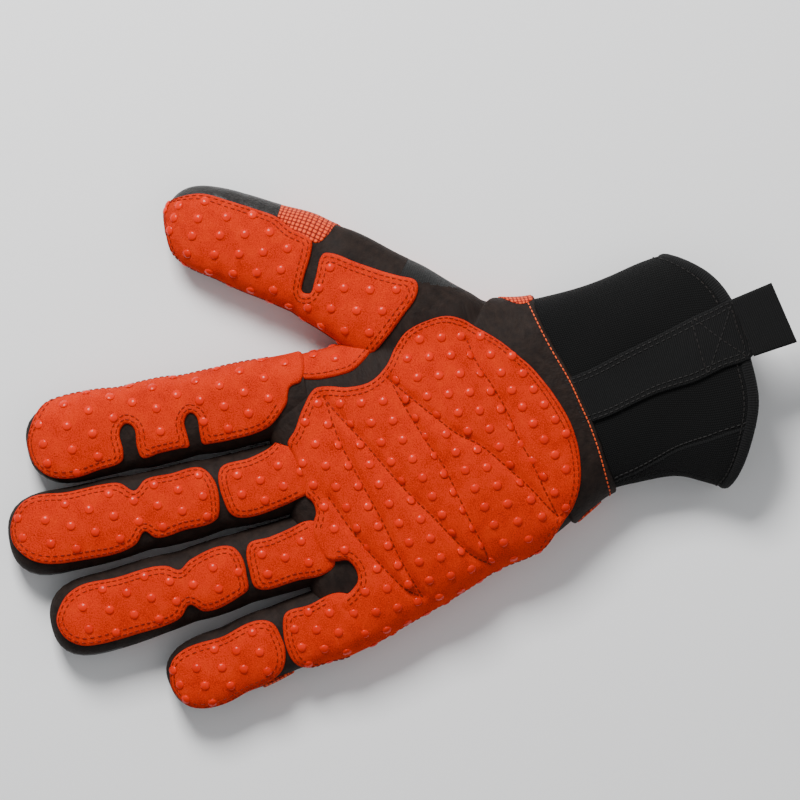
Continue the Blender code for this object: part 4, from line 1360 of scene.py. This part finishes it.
def on_cuff(a, s, height=0.0):
    """The cuff, going on beyond its mouth in the middle."""
    return trunk.place(a, s, np.broadcast_to(height, np.shape(a)) + 0.0004)


strap = Panel(trunk, STRAP, 0.0011, sink=0.0003, edge=0.0005, place=on_cuff)
strap.build("strap", "hand", "webbing")
edge_stitches("strap_edge", "hand", strap, depths=(0.0013, 0.0030), key="thread_black",
              skip=lambda point: point[1] > -0.0600)
box_lines = [curve_through(trunk.domain(line), 0.0010, closed=False) for line in (
    ((-18.6, -108.0), (-0.8, -119.5)), ((-2.0, -107.0), (-17.6, -120.0)),
    ((-19.0, -106.5), (-2.6, -105.5)))]
stitch_rows("strap_box", "hand", "thread_black", strap.on_top, box_lines)

GUSSET_SEAM = ((-41.3, -114.5), (-42.0, -105), (-42.6, -96), (-44, -83.2), (-46.0, -74), (-47.6, -66))
seam = curve_through(trunk.domain(GUSSET_SEAM), 0.0010, closed=False)
sweep("gusset_seam", "hand", "webbing", seam, rim_place, 0.0009, 0.0010, closed=False)
stitch_rows("gusset_stitches", "hand", "thread_black", trunk.at, [seam + [0.0018, 0]], above=0.0003)

WRIST_BAND = ((21.2, -46.5, 1.04), (18.9, -55.6, 1.06), (13.7, -56.2), (2, -58.9), (-9.3, -61.7),
              (-18, -63.4), (-26.4, -64.9), (-40, -65.5), (-49.6, -65.2, -1.04), (-55, -50.5, -1.04),
              (-50, -48.5, -0.92), (-40, -51), (-25, -53.5), (-8, -49.5), (4, -41), (13, -33), (18, -36))
band = Panel(trunk, WRIST_BAND, 0.0016, sink=0.0006, edge=0.0007)
band.build("wrist_band", "hand", "leather")
for name, outline in (
        ("wrist_weave_thumb", ((22.5, -43.5, 1.16), (21, -52, 1.18), (19.2, -55.2, 1.06),
                               (15.6, -56.0, 0.955), (17.6, -50.5, 0.94), (20.4, -44.5, 1.0))),
        ("wrist_weave_little", ((-56, -50.5, -1.14), (-51.5, -59, -1.14), (-50.4, -60.5, -1.02),
                                (-52.5, -54, -0.985), (-55.5, -50.5, -1.0)))):
    Panel(trunk, outline, 0.0020, sink=0.0006, edge=0.0006).build(name, "hand", "weave")
WRIST_LINE = ((19.0, -53.4, 1.0), (13.7, -54.6), (2, -57.3), (-9.3, -60.1), (-18, -61.8),
              (-26.4, -63.3), (-40, -63.9), (-49.2, -63.6, -1.0))
wrist_line = curve_through(trunk.domain(WRIST_LINE), 0.0010, closed=False)
stitch_rows("wrist_thread", "hand", "thread_orange", band.on_top, [wrist_line], pitch=0.0019,
            length=0.0013, radius=0.00024)

tab_low, tab_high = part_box("pull_tab")


def make_tab():
    """A folded loop of webbing: two layers that meet in a rounded fold at the free end."""
    near = ((1.9, -120.6), (-18.7, -123.0))
    far = ((3.9, -135.2), (-17.8, -138.4))
    top, low = tab_high.z - 0.0001, tab_low.z + 0.0001
    middle, half = (top + low) / 2, (top - low) / 2
    sides, rows = 25, 27
    verts, uv = [], []
    steps = [(t, half) for t in np.linspace(0, 0.955, 12)]
    steps += [(0.955 + 0.045 * math.sin(t), half * math.cos(t))
              for t in np.linspace(0, math.pi, 7)[1:-1]]
    steps += [(t, -half) for t in np.linspace(0.955, 0, 12)]
    for number, (t, z) in enumerate(steps):
        for u in np.linspace(0, 1, sides):
            p = [near[0][k] * (1 - u) + near[1][k] * u for k in (0, 1)]
            q = [far[0][k] * (1 - u) + far[1][k] * u for k in (0, 1)]
            crown = 0.00025 * math.sin(u * math.pi) * (1 if z > 0 else -1)
            edge = min(u, 1 - u) * 20
            thin = 0.72 + 0.28 * min(1.0, edge)
            verts.append(((p[0] * (1 - t) + q[0] * t) * MM, (p[1] * (1 - t) + q[1] * t) * MM,
                          middle + z * thin + crown))
            uv.append((u * 0.0208, t * 0.0150))
    faces = []
    count = len(steps)
    for i in range(count):
        j = (i + 1) % count
        for k in range(sides - 1):
            faces.append((i * sides + k, j * sides + k, j * sides + k + 1, i * sides + k + 1))
    for column, flip in ((0, True), (sides - 1, False)):
        for i in range((count - 1) // 2):
            a, b = i * sides + column, (i + 1) * sides + column
            c, d = (count - 2 - i) * sides + column, (count - 1 - i) * sides + column
            if b == c:
                continue
            face = (a, b, c, d)
            faces.append(face[::-1] if flip else face)
    emit("pull_tab_loop", "tab", "webbing", verts, faces, uv, [0.0] * len(verts))


make_tab()

for node in frame["nodes"]:
    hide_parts(node)


# ---- Floor, light and camera -----------------------------------------------------------------------


SKY_COLOUR, SKY_STRENGTH = (0.95, 0.97, 1.0, 1), 0.34
LAMPS = (("key", (0.74, 0.10, 0.74), 17.5, 0.36),         # name, place, watts, side
         ("fill", (-0.8, -0.4, 1.4), 2.5, 1.4),
         ("front", (0.1, -1.2, 0.8), 2.0, 0.9))
CAMERA_LENS, CAMERA_SENSOR = 397.0, 36.0
CAMERA_TURN = 15                                          # degrees that the photo is turned by
CAMERA_PLACE = (-0.00195, -0.00366, 3.01)


def studio():
    floor_mesh = bpy.data.meshes.new("floor")
    size = 4.0
    floor_mesh.from_pydata([(-size, -size, 0), (size, -size, 0), (size, size, 0), (-size, size, 0)], [],
                           [(0, 1, 2, 3)])
    floor = bpy.data.objects.new("floor", floor_mesh)
    bpy.context.scene.collection.objects.link(floor)
    n = Nodes("floor", (0.93, 0.93, 0.93), 0.8)
    floor_mesh.uv_layers.new(name="cloth")
    n.colour(n.noise(2.0, 2.0), ((0.3, (0.92, 0.92, 0.92)), (0.7, (0.94, 0.94, 0.94))))
    floor_mesh.materials.append(n.material)

    world = bpy.data.worlds.new("studio")
    bpy.context.scene.world = world
    world.use_nodes = True
    background = world.node_tree.nodes["Background"]
    background.inputs["Color"].default_value = SKY_COLOUR
    background.inputs["Strength"].default_value = SKY_STRENGTH

    for name, place, power, side in LAMPS:
        light = bpy.data.lights.new(name, "AREA")
        light.energy, light.size = power, side
        lamp = bpy.data.objects.new(name, light)
        lamp.location = place
        lamp.rotation_euler = (-Vector(place)).to_track_quat("-Z", "Y").to_euler()
        bpy.context.scene.collection.objects.link(lamp)


studio()

camera_data = bpy.data.cameras.new("camera")
camera_data.lens, camera_data.sensor_width = CAMERA_LENS, CAMERA_SENSOR
camera = bpy.data.objects.new("camera", camera_data)
turn = math.radians(CAMERA_TURN)
right = Vector((-math.sin(turn), -math.cos(turn), 0))
up = Vector((math.cos(turn), -math.sin(turn), 0))
camera.matrix_world = Matrix((
    *((right[i], up[i], float(i == 2), CAMERA_PLACE[i]) for i in range(3)), (0, 0, 0, 1)))
bpy.context.scene.collection.objects.link(camera)
bpy.context.scene.camera = camera
